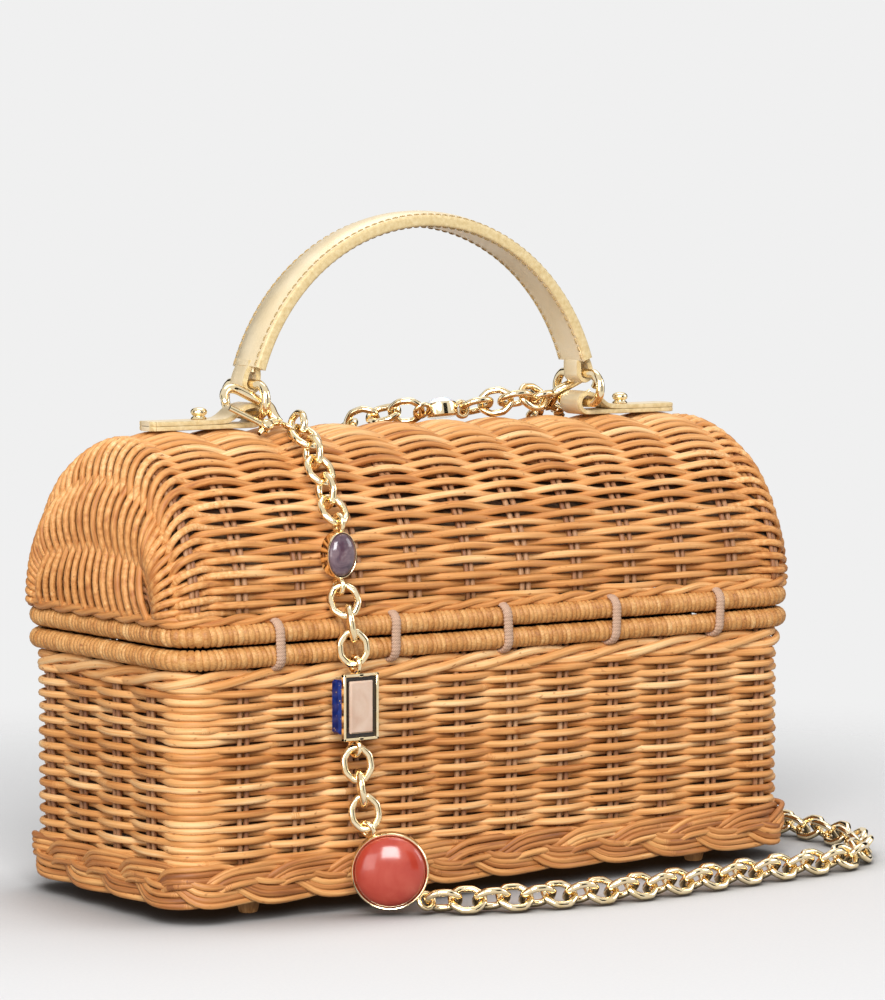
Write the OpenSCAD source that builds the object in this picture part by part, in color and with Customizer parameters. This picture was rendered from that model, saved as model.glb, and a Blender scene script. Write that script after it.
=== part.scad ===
// Trunk-shaped wicker bag: woven basket, hinged domed lid, leather top handle
// and a jewelled chain strap. Millimetres, +Z up, the origin under the middle
// of the basket at foot level. X runs along the bag, -Y is the hinge side.

/* [Basket] */
// Outer length of the woven wall
basket_l = 240; // [210:1:280]
// Outer width of the woven wall
basket_w = 96; // [86:1:120]
// Corner radius of the wall in plan
corner_r = 12; // [9:0.5:18]
// Height of the woven wall between the border and the rim
wall_h = 58; // [45:1:75]
// Thickness of the weave
weave_t = 5; // [4:0.25:6]
// Rows of weavers in the wall
wall_rows = 13; // [10:1:14]
// Doubled stakes round the wall
wall_stakes = 28; // [24:2:32]
// How far a weaver swings in and out round the stakes
weave_swing = 1.5; // [0.8:0.1:1.6]
// Depth of the groove between two weavers
weave_groove = 2.5; // [1.9:0.1:2.8]

/* [Border, floor and feet] */
// Height of the plaited border at the bottom
border_h = 14; // [10:0.5:18]
// Thickness of the plaited border
border_t = 9; // [7:0.5:11]
// How far the border stands out from the wall
border_out = 2.5; // [1:0.25:4]
// Strands twisted in the border
border_strands = 3; // [2:1:4]
// Thickness of the floor mat
floor_t = 5; // [4:0.5:7]
// Rods side by side in the floor mat
floor_rods = 16; // [10:1:20]
// Clear height under the border
foot_clear = 5; // [3:0.5:8]
// Diameter of a foot where it meets the floor mat
foot_top_d = 10; // [8:0.5:14]
// Diameter of a foot at the ground
foot_d = 6; // [4:0.5:8]
// Diameter of the dowel that holds a foot
dowel_d = 4; // [3:0.5:5]
// Distance of the feet from the ends of the wall
foot_inset_x = 32; // [24:1:50]
// Distance of the feet from the long sides of the wall
foot_inset_y = 13; // [12:0.5:22]

/* [Rims and hinge ties] */
// Diameter of the cane-wrapped rim hoops
rim_d = 6.6; // [5:0.2:8]
// How far the rims stand out from the wall
rim_out = 2.4; // [1.5:0.1:3]
// Gap between the closed rims
rim_gap = 0.6; // [0.4:0.1:1]
// Number of cord ties along the hinge side
tie_count = 5; // [3:2:5]
// Distance between ties
tie_pitch = 43; // [30:1:45]
// Width of a tie along the rim
tie_w = 4.6; // [3:0.2:6]
// Thickness of the cord in a tie
tie_t = 1.5; // [1:0.1:2]

/* [Lid] */
// Height of the dome above the lid rim
lid_rise = 56.2; // [45:0.2:70]
// How far the lid stands past the ends of the wall
lid_over = 4; // [2:0.5:6]
// Length of the rounding at the ends of the dome
lid_round_l = 16; // [12:1:24]
// Height of the rounding at the ends of the dome
lid_round_h = 35; // [25:1:42]
// Rows of weavers from side to side over the dome
lid_rows = 36; // [30:3:39]
// Thickness of the cloth lining
lining_t = 1.2; // [1:0.1:2]

/* [Handle] */
// Distance between the two rings
ring_span = 132; // [110:1:150]
// Height of the handle's top above the lid
handle_rise = 68.4; // [58:0.2:80]
// Width of the padded strap
strap_w = 15; // [13:0.5:18]
// Thickness of the padded strap
strap_t = 5; // [4:0.25:6]
// Width of the folded loops under the strap
loop_w = 8.5; // [7:0.5:8.5]
// Width of the leather tabs
tab_w = 11; // [9:0.5:12]
// Thickness of the folded leather
leather_t = 1.6; // [1.3:0.1:1.9]
// Wire diameter of the oval rings
ring_wire = 3; // [2.5:0.1:3.4]
// Radius of the round ends of a ring
ring_r = 5; // [4.8:0.1:6]
// Length of the straight bars of a ring
ring_bar = 14; // [13.6:0.2:18]
// Length of a tab along the lid
tab_l = 37; // [32:1:46]
// Diameter of the studs
stud_d = 6; // [4.5:0.25:7.5]
// Height of the stud heads
stud_h = 3.6; // [2.5:0.1:5]

/* [Clasps] */
// Wire diameter of a clasp
clasp_wire = 2.2; // [1.8:0.1:2.4]
// Radius of the hook's bend
clasp_r = 4.2; // [4.1:0.1:4.6]
// Length of the straight arms
clasp_arm = 12; // [10:0.5:14]

/* [Chain and stones] */
// Outer length of a link
link_l = 12.6; // [12:0.2:13.4]
// Outer width of a link
link_w = 10.6; // [10:0.2:11.2]
// Wire diameter of a link
link_wire = 2.3; // [2:0.1:2.4]
// Diameter of the round coral cabochon in its setting
coral_d = 24.2; // [21:0.2:27]
// Width of the oval amethyst in its setting
oval_w = 10.8; // [9:0.2:13]
// Height of the oval amethyst in its setting
oval_h = 14.6; // [12:0.2:18]
// Width of the framed block
block_w = 13; // [11:0.5:15]
// Height of the framed block
block_h = 20.6; // [19:0.2:22]
// Depth of the framed block
block_d = 7.5; // [6:0.5:9]
// Width of the pale oval stone on the lid
pale_w = 9; // [7:0.2:11]
// Height of the pale oval stone on the lid
pale_h = 11; // [9:0.2:13]
// Depth of the stone settings
setting_t = 4.5; // [3.5:0.25:6]
// Thickness of the gold wall of a setting
setting_wall = 0.9; // [0.6:0.1:1.2]

/* [Closure] */
// Width of the front closing tongue
tongue_w = 18; // [12:1:24]
// Drop of the tongue below the rims
tongue_drop = 24; // [20:1:34]
// Diameter of the magnetic snap discs
snap_d = 13; // [9:0.5:15]
// Thickness of a snap disc
snap_t = 1.2; // [0.8:0.1:1.4]

/* [Hidden] */
$fn = 48;

// Colours as the photo shows them
rattan = [0.76, 0.53, 0.31];
cane = [0.80, 0.58, 0.36];
cord_pink = [0.80, 0.62, 0.50];
gold_leather = [0.87, 0.78, 0.58];
gold = [0.93, 0.82, 0.58];
wood = [0.60, 0.38, 0.20];
cloth = [0.78, 0.66, 0.50];

// Clearance between pieces that seat on each other
seat = 0.25;
half_l = basket_l / 2;
half_w = basket_w / 2;

// Levels from the ground up
border_z = foot_clear + border_h / 2;
wall_z0 = foot_clear + border_h + seat;
wall_z1 = wall_z0 + wall_h;
rim_z = wall_z1 + seat + rim_d / 2;
hinge_z = rim_z + rim_d / 2 + rim_gap / 2;
lid_rim_z = rim_z + rim_d + rim_gap;
lid_z0 = lid_rim_z + rim_d / 2 + seat;
lid_top = lid_z0 + lid_rise;
floor_z0 = border_z - floor_t / 2;
floor_z1 = floor_z0 + floor_t;

// Outline of the hoops: half sizes at the outside
rim_half_l = half_l + rim_out;
rim_half_w = half_w + rim_out;
rim_corner = corner_r + rim_out;
hinge_y = -rim_half_w;
lid_half_l = half_l + lid_over;

// Round a closed outline: half sizes a and b, corner radius r, and the
// distance s along it from the middle of the +X end, going round by +Y
function outline_length(a, b, r) = 4 * (a - r) + 4 * (b - r) + 2 * PI * r;
function quarter_point(a, b, r, s) =
  let (end = b - r, bend = PI * r / 2, turn = (s - end) / r * 180 / PI)
  s <= end ? [a, s, 0]
  : s <= end + bend ? [a - r + r * cos(turn), b - r + r * sin(turn), turn]
  : [a - r - (s - end - bend), b, 90];
function outline_point(a, b, r, s) =
  let (
    quarter = outline_length(a, b, r) / 4,
    q = floor(s / quarter),
    along = s - q * quarter,
    odd = q % 2 == 1,
    p = quarter_point(a, b, r, odd ? quarter - along : along)
  )
  q == 0 ? p
  : q == 1 ? [-p[0], p[1], 180 - p[2]]
  : q == 2 ? [-p[0], -p[1], 180 + p[2]]
  : [p[0], -p[1], 360 - p[2]];

// Faces of a closed grid of m rings with n points each
function ring_faces(m, n) = [
  for (k = [0 : m - 1], i = [0 : n - 1])
    let (
      a = k * n + i,
      b = k * n + (i + 1) % n,
      c = ((k + 1) % m) * n + (i + 1) % n,
      d = ((k + 1) % m) * n + i
    )
    each [[a, c, b], [a, d, c]]
];

// Basket wall: every row of weavers passes in front of one pair of stakes and
// behind the next, the row above the other way round
wall_steps = 3 * wall_stakes;
function wall_ring(inset, z) = [
  for (i = [0 : wall_steps - 1])
    let (
      p = outline_point(half_l, half_w, corner_r,
        i / wall_steps * outline_length(half_l, half_w, corner_r)),
      d = inset[i % 6]
    )
    [p[0] - d * cos(p[2]), p[1] - d * sin(p[2]), z]
];
function weaver_inset(row) = [
  for (i = [0 : 5]) weave_swing * (1 - cos(60 * i + 180 * row))
];
groove_inset = [for (i = [0 : 5]) weave_groove];
back_inset = [for (i = [0 : 5]) weave_t];

module base_weave() {
  row_h = wall_h / wall_rows;
  rings = [
    wall_ring(groove_inset, wall_z0),
    for (row = [0 : wall_rows - 1])
      each [
        wall_ring(weaver_inset(row), wall_z0 + (row + 0.5) * row_h),
        wall_ring(groove_inset, wall_z0 + (row + 1) * row_h)
      ],
    wall_ring(back_inset, wall_z1),
    wall_ring(back_inset, wall_z0)
  ];
  color(rattan)
    polyhedron([for (r = rings) each r], ring_faces(len(rings), wall_steps));
}

// Plaited border: a flat rope of thick strands round the foot of the wall
border_steps = 72;
border_sides = 8;
border_half_l = half_l + border_out;
border_half_w = half_w + border_out;
border_corner = corner_r + border_out;
border_turns = 10;
function rope_ring(k) =
  let (
    p = outline_point(border_half_l, border_half_w, border_corner,
      k / border_steps * outline_length(border_half_l, border_half_w, border_corner)),
    twist = 360 * border_turns * k / border_steps
  )
  [
    for (i = [0 : border_sides - 1])
      let (
        turn = 360 * i / border_sides,
        swell = 0.9 + 0.1 * cos(border_strands * turn - twist),
        d = border_t / 2 - border_t / 2 * swell * cos(turn)
      )
      [
        p[0] - d * cos(p[2]),
        p[1] - d * sin(p[2]),
        border_z + border_h / 2 * swell * sin(turn)
      ]
  ];
module bottom_border() {
  rings = [for (k = [0 : border_steps - 1]) rope_ring(k)];
  color(rattan)
    polyhedron([for (r = rings) each r], ring_faces(border_steps, border_sides));
}

// Flat outline with round corners, for extruding
module plate_outline(a, b, r) {
  steps = 6;
  polygon([
    for (sx = [0 : 3], k = [0 : steps])
      let (
        turn = 90 * sx + 90 * k / steps,
        cx = (sx == 0 || sx == 3) ? a - r : r - a,
        cy = sx < 2 ? b - r : r - b
      )
      [cx + r * cos(turn), cy + r * sin(turn)]
  ]);
}

// Floor mat: a stiff mat of rods that fills the border
floor_half_l = border_half_l - border_t - seat;
floor_half_w = border_half_w - border_t - seat;
rod_depth = 1;
module base_floor() {
  rod = 2 * (floor_half_w - corner_r / 2) / floor_rods;
  color(rattan)
    difference() {
      translate([0, 0, floor_z0])
        linear_extrude(floor_t)
          plate_outline(floor_half_l, floor_half_w, corner_r / 2);
      for (i = [1 : floor_rods - 1])
        translate([0, (i - floor_rods / 2) * rod, floor_z0 - rod_depth / 2])
          rotate([45, 0, 0])
            cube([2 * floor_half_l + 2, rod_depth, rod_depth], center = true);
      for (x = [-1, 1], y = [-1, 1])
        translate([x * foot_x, y * foot_y, floor_z0 - 1])
          cylinder(d = dowel_d + 2 * dowel_fit, h = dowel_l + 1);
    }
}

// Turned wooden feet, each held by a dowel in the floor mat
foot_x = half_l - foot_inset_x;
foot_y = half_w - foot_inset_y;
dowel_fit = 0.05;
dowel_l = floor_t - 1.5;
module foot(x, y) {
  color(wood)
    translate([x * foot_x, y * foot_y, 0])
      rotate_extrude()
        polygon([
          [0, 0], [foot_d / 2 - 0.5, 0], [foot_d / 2, 0.5],
          [foot_top_d / 2, floor_z0 - seat], [dowel_d / 2, floor_z0 - seat],
          [dowel_d / 2, floor_z0 + dowel_l - seat], [0, floor_z0 + dowel_l - seat]
        ]);
}

// Cloth lining of the basket: a tray inside the weave, on the floor mat
lining_half_l = half_l - weave_t - seat;
lining_half_w = half_w - weave_t - seat;
lining_corner = corner_r - weave_t + 3 * seat;
lining_z0 = max(floor_z1, wall_z0) + seat;
module base_lining() {
  color(cloth)
    difference() {
      translate([0, 0, lining_z0])
        linear_extrude(wall_z1 - lining_z0)
          plate_outline(lining_half_l, lining_half_w, lining_corner);
      translate([0, 0, lining_z0 + lining_t])
        linear_extrude(wall_h + border_h)
          plate_outline(lining_half_l - lining_t, lining_half_w - lining_t,
            lining_corner - 2 * lining_t);
    }
}

// A round hoop bent to a rectangle with round corners
module hoop(a, b, r, d, z) {
  bend = r - d / 2;
  for (sx = [-1, 1], sy = [-1, 1])
    translate([sx * (a - r), sy * (b - r), z])
      rotate([0, 0, sx > 0 ? (sy > 0 ? 0 : 270) : (sy > 0 ? 90 : 180)])
        rotate_extrude(angle = 90)
          translate([bend, 0]) circle(d = d);
  for (s = [-1, 1]) {
    translate([-(a - r), s * (b - d / 2), z])
      rotate([0, 90, 0]) cylinder(d = d, h = 2 * (a - r));
    translate([s * (a - d / 2), -(b - r), z])
      rotate([-90, 0, 0]) cylinder(d = d, h = 2 * (b - r));
  }
}
module base_rim() {
  color(cane) hoop(rim_half_l, rim_half_w, rim_corner, rim_d, rim_z);
}
module lid_rim() {
  color(cane) hoop(rim_half_l, rim_half_w, rim_corner, rim_d, lid_rim_z);
}

// Cord ties: each passes round the outside of both rims and joins them
tie_in = rim_d / 2 + seat;
tie_reach = 66;
module hinge_tie(i) {
  steps = 8;
  arc = function (r, z, from, to) [
    for (k = [0 : steps])
      let (turn = from + (to - from) * k / steps)
      [-r * cos(turn), z + r * sin(turn)]
  ];
  outside = concat(arc(tie_in + tie_t, rim_z, -tie_reach, 0),
    arc(tie_in + tie_t, lid_rim_z, 0, tie_reach));
  inside = concat(arc(tie_in, lid_rim_z, tie_reach, 0),
    arc(tie_in, rim_z, 0, -tie_reach));
  color(cord_pink)
    translate([(i - (tie_count - 1) / 2) * tie_pitch - tie_w / 2,
      -(rim_half_w - rim_d / 2), 0])
      rotate([90, 0, 90])
        linear_extrude(tie_w)
          polygon(concat(outside, inside));
}

// Dome of the lid. Its long profile is a flat top with elliptic ends, its
// cross profile half an ellipse. Each entry is the place along X, the share
// of the full height, and the count of arched stakes passed so far
ends_steps = 6;
top_steps = 18;
drop_steps = 2;
function dome_profile(a, h, round_l, round_h) =
  let (
    share = round_h / h,
    drop = [for (k = [0 : drop_steps - 1]) [a, (1 - share) * k / drop_steps, k / 2]],
    bend = [
      for (k = [0 : ends_steps - 1])
        let (turn = 90 * k / ends_steps)
        [a - round_l + round_l * cos(turn), 1 - share + share * sin(turn), 1 + k / 3]
    ],
    flat = [
      for (k = [0 : top_steps / 2 - 1])
        [(a - round_l) * (1 - 2 * k / top_steps), 1, 3 + k / 2]
    ],
    half = concat(drop, bend, flat)
  )
  concat(
    [for (p = half) [-p[0], p[1], p[2]]],
    [[0, 1, 3 + top_steps / 4]],
    [for (k = [len(half) - 1 : -1 : 0]) half[k]]
  );
function half_width_at(x, a, b, r) =
  let (past = max(0, abs(x) - (a - r)))
  b - r + sqrt(r * r - past * past);
// The rows fan out a little down the end faces
row_fan = 0.25;
row_limit = 88;
function dome_point(p, turn, a, b, h, r) =
  let (
    across = sin(turn),
    landing = across * (1 + row_fan * cos(turn) * cos(turn))
  )
  [
    p[0],
    half_width_at(p[0], a, b, r) * (p[1] * across + (1 - p[1]) * landing),
    lid_z0 + h * p[1] * cos(turn)
  ];
function dome_grid(a, b, h, r, round_l, round_h, rows) = [
  for (p = dome_profile(a, h, round_l, round_h))
    [for (j = [0 : rows]) dome_point(p, row_limit * (2 * j / rows - 1), a, b, h, r)]
];
function unit(v) = v / max(norm(v), 0.000001);

// Push a grid out of its own surface into weavers: the crest of each row goes
// over one arched stake and under the next, and calms down in the corners
function woven_grid(grid, profile, rows) =
  let (m = len(grid) - 1, n = 2 * rows)
  [
    for (i = [0 : m])
      [
        for (j = [0 : n])
          let (
            du = grid[min(i + 1, m)][j] - grid[max(i - 1, 0)][j],
            dv = grid[i][min(j + 1, n)] - grid[i][max(j - 1, 0)],
            out = unit(cross(du, dv)),
            turn = row_limit * (2 * j / n - 1),
            share = profile[i][1],
            calm = share + (1 - share) * max(0, min(1, 1.6 * cos(turn) - 0.4)),
            row = floor(j / 2),
            inset = j % 2 == 1
              ? weave_swing * (1 - cos(180 * profile[i][2] + 180 * row))
              : weave_groove,
            edge = (i == 0 || i == m || j == 0 || j == n) ? 0 : 1
          )
          grid[i][j] - edge * (weave_groove + (inset - weave_groove) * calm) * out
      ]
  ];

// Faces between a fine outer grid and a coarse inner grid of one dome, with
// the foot of the wall closed. Every step of the inner grid spans q outer ones
function dome_faces(m, n, q) =
  let (
    w = n + 1,
    v = n / q,
    first = (m + 1) * w,
    at_out = function (i, j) i * w + j,
    at_in = function (i, j) first + i * (v + 1) + j
  )
  concat(
    [
      for (i = [0 : m - 1], j = [0 : n - 1])
        each [
          [at_out(i, j), at_out(i + 1, j + 1), at_out(i + 1, j)],
          [at_out(i, j), at_out(i, j + 1), at_out(i + 1, j + 1)]
        ]
    ],
    [
      for (i = [0 : m - 1], j = [0 : v - 1])
        each [
          [at_in(i, j), at_in(i + 1, j), at_in(i + 1, j + 1)],
          [at_in(i, j), at_in(i + 1, j + 1), at_in(i, j + 1)]
        ]
    ],
    [
      for (i = [0 : m - 1])
        each [
          [at_out(i, 0), at_out(i + 1, 0), at_in(i + 1, 0)],
          [at_out(i, 0), at_in(i + 1, 0), at_in(i, 0)],
          [at_out(i, n), at_in(i + 1, v), at_out(i + 1, n)],
          [at_out(i, n), at_in(i, v), at_in(i + 1, v)]
        ]
    ],
    [
      for (j = [0 : v - 1])
        each concat(
          [
            for (k = [0 : q - 1])
              [at_out(0, j * q + k), at_in(0, j), at_out(0, j * q + k + 1)]
          ],
          [[at_out(0, (j + 1) * q), at_in(0, j), at_in(0, j + 1)]],
          [
            for (k = [0 : q - 1])
              [at_out(m, j * q + k), at_out(m, j * q + k + 1), at_in(m, j)]
          ],
          [[at_out(m, (j + 1) * q), at_in(m, j + 1), at_in(m, j)]]
        )
    ]
  );
inner_share = 6;
module dome_shell(outer, inner, n, q) {
  polyhedron(
    concat([for (line = outer) each line], [for (line = inner) each line]),
    dome_faces(len(outer) - 1, n, q)
  );
}
module lid_weave() {
  n = 2 * lid_rows;
  profile = dome_profile(lid_half_l, lid_rise, lid_round_l, lid_round_h);
  smooth = dome_grid(lid_half_l, half_w, lid_rise, corner_r, lid_round_l, lid_round_h, n);
  back = dome_grid(lid_half_l - weave_t, half_w - weave_t, lid_rise - weave_t,
    corner_r - weave_t, lid_round_l - weave_t, lid_round_h - weave_t, n / inner_share);
  color(rattan)
    dome_shell(woven_grid(smooth, profile, lid_rows), back, n, inner_share);
}
module lid_lining() {
  n = 2 * lid_rows / inner_share;
  gap = weave_t + 2 * seat;
  in = gap + lining_t;
  color(cloth)
    dome_shell(
      dome_grid(lid_half_l - gap, half_w - gap, lid_rise - gap, corner_r - gap,
        lid_round_l - gap, lid_round_h - gap, n),
      dome_grid(lid_half_l - in, half_w - in, lid_rise - in, corner_r - in,
        lid_round_l - in, lid_round_h - in, n),
      n, 1
    );
}

// Leather tabs on the lid: a strip folded back over the lower bar of a ring
// and held down by a stud. Heights of the fold are taken from the ring
rock = 6;
tab_z = lid_top + seat;
ring_x = ring_span / 2;
fold_slack = tab_w / 2 * sin(rock) + seat;
bar_low_z = tab_z + leather_t + fold_slack + ring_wire / 2;
ring_z = bar_low_z + ring_r;
bar_high_z = ring_z + ring_r;
fold_in = ring_wire / 2 + fold_slack;
stud_x = ring_x + 0.47 * tab_l;
nip_turn = 50;
module tab(side) {
  steps = 10;
  arc = function (r, from) [
    for (k = [0 : steps])
      let (turn = from + (270 - from) * k / steps)
      [ring_x + r * cos(turn), bar_low_z + r * sin(turn)]
  ];
  tail = ring_x + tab_l;
  nip = ring_x + fold_in + 2 * leather_t;
  drop = 1.2;
  slope = 3;
  profile = concat(
    [[tail, tab_z], [tail, tab_z + 2 * leather_t], [nip + slope, tab_z + 2 * leather_t],
      [nip, bar_low_z + fold_in + leather_t - drop]],
    arc(fold_in + leather_t, 90),
    [[tail - 1, tab_z]]
  );
  eye = concat(
    [[nip, tab_z + 1.5 * leather_t]],
    arc(fold_in, nip_turn)
  );
  color(gold_leather)
    mirror([side > 0 ? 0 : 1, 0, 0])
      difference() {
        translate([0, tab_w / 2, 0])
          rotate([90, 0, 0])
            linear_extrude(tab_w)
              difference() {
                polygon(profile);
                polygon(eye);
              }
        translate([stud_x, 0, tab_z - 1])
          cylinder(d = stud_d / 2 + 2 * seat, h = 2 * leather_t + 2);
      }
}
module stud(side) {
  head_z = tab_z + 2 * leather_t + 0.05;
  color(gold)
    translate([side * stud_x, 0, 0])
      rotate_extrude()
        polygon([
          [0, tab_z + 0.05], [stud_d / 4, tab_z + 0.05], [stud_d / 4, head_z],
          [stud_d / 2, head_z], [stud_d / 2, head_z + 0.55 * stud_h],
          [0.42 * stud_d, head_z + 0.85 * stud_h], [0.2 * stud_d, head_z + stud_h],
          [0, head_z + stud_h]
        ]);
}

// Oval rings that join the tabs to the handle
module oval_wire(half_bar, r, wire) {
  for (s = [-1, 1]) {
    translate([0, s * half_bar, 0])
      rotate([0, 90, 0])
        rotate([0, 0, s > 0 ? 0 : 180])
          rotate_extrude(angle = 180)
            translate([r, 0]) circle(d = wire);
    translate([0, -half_bar, s * r])
      rotate([-90, 0, 0]) cylinder(d = wire, h = 2 * half_bar);
  }
}
module ring(side) {
  color(gold)
    translate([side * ring_x, 0, ring_z])
      oval_wire(ring_bar / 2, ring_r, ring_wire);
}

// Folded leather loops under the handle, each round the upper bar of a ring
loop_in = ring_wire / 2 + seat;
loop_past = 35;
loop_bridge = 1.5;
loop_top_z = bar_high_z + loop_in + leather_t + loop_bridge;
module handle_loop(side) {
  steps = 10;
  arc = function (r, past) [
    for (k = [0 : steps])
      let (turn = 180 - past + (180 + 2 * past) * k / steps)
      [ring_x + r * cos(turn), bar_high_z + r * sin(turn)]
  ];
  r_out = loop_in + leather_t;
  top = strap_t / 2 - strap_inset;
  end = function (r) [
    r * cos(arc_from) + loop_gap * sin(arc_from),
    arc_z + r * sin(arc_from) - loop_gap * cos(arc_from)
  ];
  color(gold_leather)
    mirror([side > 0 ? 0 : 1, 0, 0])
      translate([0, loop_w / 2, 0])
        rotate([90, 0, 0])
          linear_extrude(loop_w)
            difference() {
              polygon(concat(
                arc(r_out, 0),
                [end(arc_r + top), end(arc_r - top)]
              ));
              polygon(concat(
                arc(loop_in, loop_past),
                [[ring_x, bar_high_z + loop_in / sin(loop_past)]]
              ));
            }
}

// Padded strap: one arc from loop to loop, flat inside and crowned outside
handle_top = lid_top + handle_rise;
loop_gap = 0.1;
strap_inset = 0.4;
strap_z0 = loop_top_z + loop_gap;
strap_lean = 0.8;
arc_half = ring_x - strap_lean;
arc_rise = handle_top - strap_t / 2 - strap_z0;
arc_r = (arc_half * arc_half + arc_rise * arc_rise) / (2 * arc_rise);
arc_z = handle_top - strap_t / 2 - arc_r;
arc_from = atan2(strap_z0 - arc_z, arc_half);
module handle_strap() {
  w = strap_w / 2;
  t = strap_t / 2;
  crown = 0.9;
  edge = 1;
  flat = 3;
  ease = 2;
  color(gold_leather)
    translate([0, 0, arc_z])
      rotate([90, 0, 0])
        rotate([0, 0, arc_from])
          rotate_extrude(angle = 180 - 2 * arc_from)
            translate([arc_r, 0])
              polygon([
                [-t, edge - w], [edge - t, -w], [t - crown - edge, -w],
                [t - crown, edge - w], [t - crown, flat - w], [t, flat + ease - w],
                [t, w - flat - ease], [t - crown, w - flat], [t - crown, w - edge],
                [t - crown - edge, w], [edge - t, w], [-t, w - edge]
              ]);
}

// Spring clasps. A clasp lies in the plane of a ring's radius and the bag's
// length. In its own U, V plane U goes from the swivel to the hook, the fixed
// arm is at +V inside the ring and the gate at -V
clasp_turn = 55;
clasp_rise = 34;
hook_u = 2.4;
hook_open = 50;
gate_w = 2;
gate_t = 1.4;
gate_play = 0.2;
gate_hub = 3;
gate_short = 1.6;
thumb_l = 4.6;
thumb_turn = 70;
cheek_t = 0.8;
cheek_r = 1.8;
plate_t = gate_t + 2 * (cheek_t + gate_play);
throat_u = -1.2;
wrap = 0.4;
tail_u = 4.2;
tail_half = 1.6;
pin_d = 1.2;
pin_play = 0.1;
eye_pin = 1.5;
eye_pin_l = 3;
eye_play = 0.15;
eye_gap = 0.3;
eye_turn_left = -54;
eye_turn_right = -16;
eye_r = 2.6;
eye_wire = 1.6;
clasp_y = ring_bar / 2 + ring_r * cos(clasp_turn);
clasp_z = ring_z - ring_r * sin(clasp_turn);
clasp_eye_u = -tail_u - eye_gap - eye_wire / 2 - eye_r;
module at_clasp(side) {
  rotate([0, 0, side > 0 ? 0 : 180])
    translate([ring_x, clasp_y, clasp_z])
      rotate([-clasp_turn, 0, 0])
        rotate([0, 0, -clasp_rise])
          translate([-hook_u, 0, 0])
            mirror([0, 1, 0])
              children();
}
module clasp_body(side) {
  arm_edge = clasp_r + clasp_wire / 2 + wrap;
  color(gold)
    at_clasp(side) {
      translate([0, clasp_r, 0])
        rotate([0, 90, 0]) cylinder(d = clasp_wire, h = clasp_arm);
      translate([clasp_arm, 0, 0])
        rotate([0, 0, 90])
          rotate_extrude(angle = -90 - hook_open)
            translate([clasp_r, 0]) circle(d = clasp_wire);
      difference() {
        translate([0, 0, -plate_t / 2])
          linear_extrude(plate_t)
            polygon(concat(
              [[wrap, arm_edge], [wrap, 2 * clasp_r - arm_edge], [throat_u, 0]],
              [
                for (turn = [70 : -21.5 : -145])
                  [cheek_r * cos(turn), cheek_r * sin(turn) - clasp_r]
              ],
              [[-tail_u, -tail_half], [-tail_u, tail_half], [2 * throat_u, arm_edge]]
            ));
        translate([-cheek_r - 1, -clasp_r - cheek_r - 1, -gate_t / 2 - gate_play])
          cube([2 * cheek_r + 2, 2 * cheek_r + 2, gate_t + 2 * gate_play]);
        translate([-tail_u - 1, 0, 0])
          rotate([0, 90, 0]) cylinder(d = eye_pin + 2 * eye_play, h = eye_pin_l + 0.5);
      }
      translate([0, -clasp_r, -plate_t / 2])
        cylinder(d = pin_d, h = plate_t);
    }
}
module clasp_gate(side) {
  length = clasp_arm + clasp_r * cos(hook_open) - gate_short;
  color(gold)
    at_clasp(side)
      difference() {
        translate([0, -clasp_r, -gate_t / 2]) {
          cylinder(d = gate_hub, h = gate_t);
          translate([0, -gate_w / 2, 0]) cube([length, gate_w, gate_t]);
          rotate([0, 0, -thumb_turn])
            translate([0, -gate_t / 2, 0]) cube([thumb_l, gate_t, gate_t]);
        }
        translate([0, -clasp_r, -plate_t])
          cylinder(d = pin_d + 2 * pin_play, h = 2 * plate_t);
      }
}
module clasp_eye(side) {
  color(gold)
    at_clasp(side)
      translate([clasp_eye_u, 0, 0]) {
        rotate([side > 0 ? eye_turn_right : eye_turn_left, 0, 0])
          rotate_extrude() translate([eye_r, 0]) circle(d = eye_wire);
        translate([eye_r, 0, 0])
          rotate([0, 90, 0]) cylinder(d = eye_pin, h = eye_pin_l);
      }
}

// Chain. A strand runs from eye to eye; its links stand at even steps along a
// smooth curve through the route's points and turn a quarter from one to the next
link_m = (link_l - link_wire) / 2;
link_bend = (link_w - link_wire) / 2;
link_play = 0.3;
link_step = 2 * link_m - link_wire - link_play;
function smooth_point(p, i, t) =
  let (
    a = p[max(i - 1, 0)], b = p[i], c = p[i + 1], d = p[min(i + 2, len(p) - 1)]
  )
  0.5 * (2 * b + (c - a) * t + (2 * a - 5 * b + 4 * c - d) * t * t
    + (3 * b - a - 3 * c + d) * t * t * t);
function smooth_route(p, cuts) = [
  for (i = [0 : len(p) - 2], k = [0 : cuts - 1]) smooth_point(p, i, k / cuts),
  p[len(p) - 1]
];
function lengths(p, i = 0, sum = 0) =
  i == len(p) - 1 ? [sum]
  : concat([sum], lengths(p, i + 1, sum + norm(p[i + 1] - p[i])));
function route_point(p, sums, s) =
  let (
    i = max([for (k = [0 : len(p) - 2]) if (sums[k] <= s) k]),
    t = (s - sums[i]) / (sums[i + 1] - sums[i])
  )
  p[i] + t * (p[i + 1] - p[i]);

// One link, its length along Z and its width along X
module link() {
  half = link_m - link_bend;
  for (s = [-1, 1]) {
    translate([0, 0, s * half])
      rotate([90, 0, 0])
        rotate([0, 0, s > 0 ? 0 : 180])
          rotate_extrude(angle = 180)
            translate([link_bend, 0]) circle(d = link_wire);
    translate([s * link_bend, 0, -half])
      cylinder(d = link_wire, h = 2 * half);
  }
}
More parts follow.
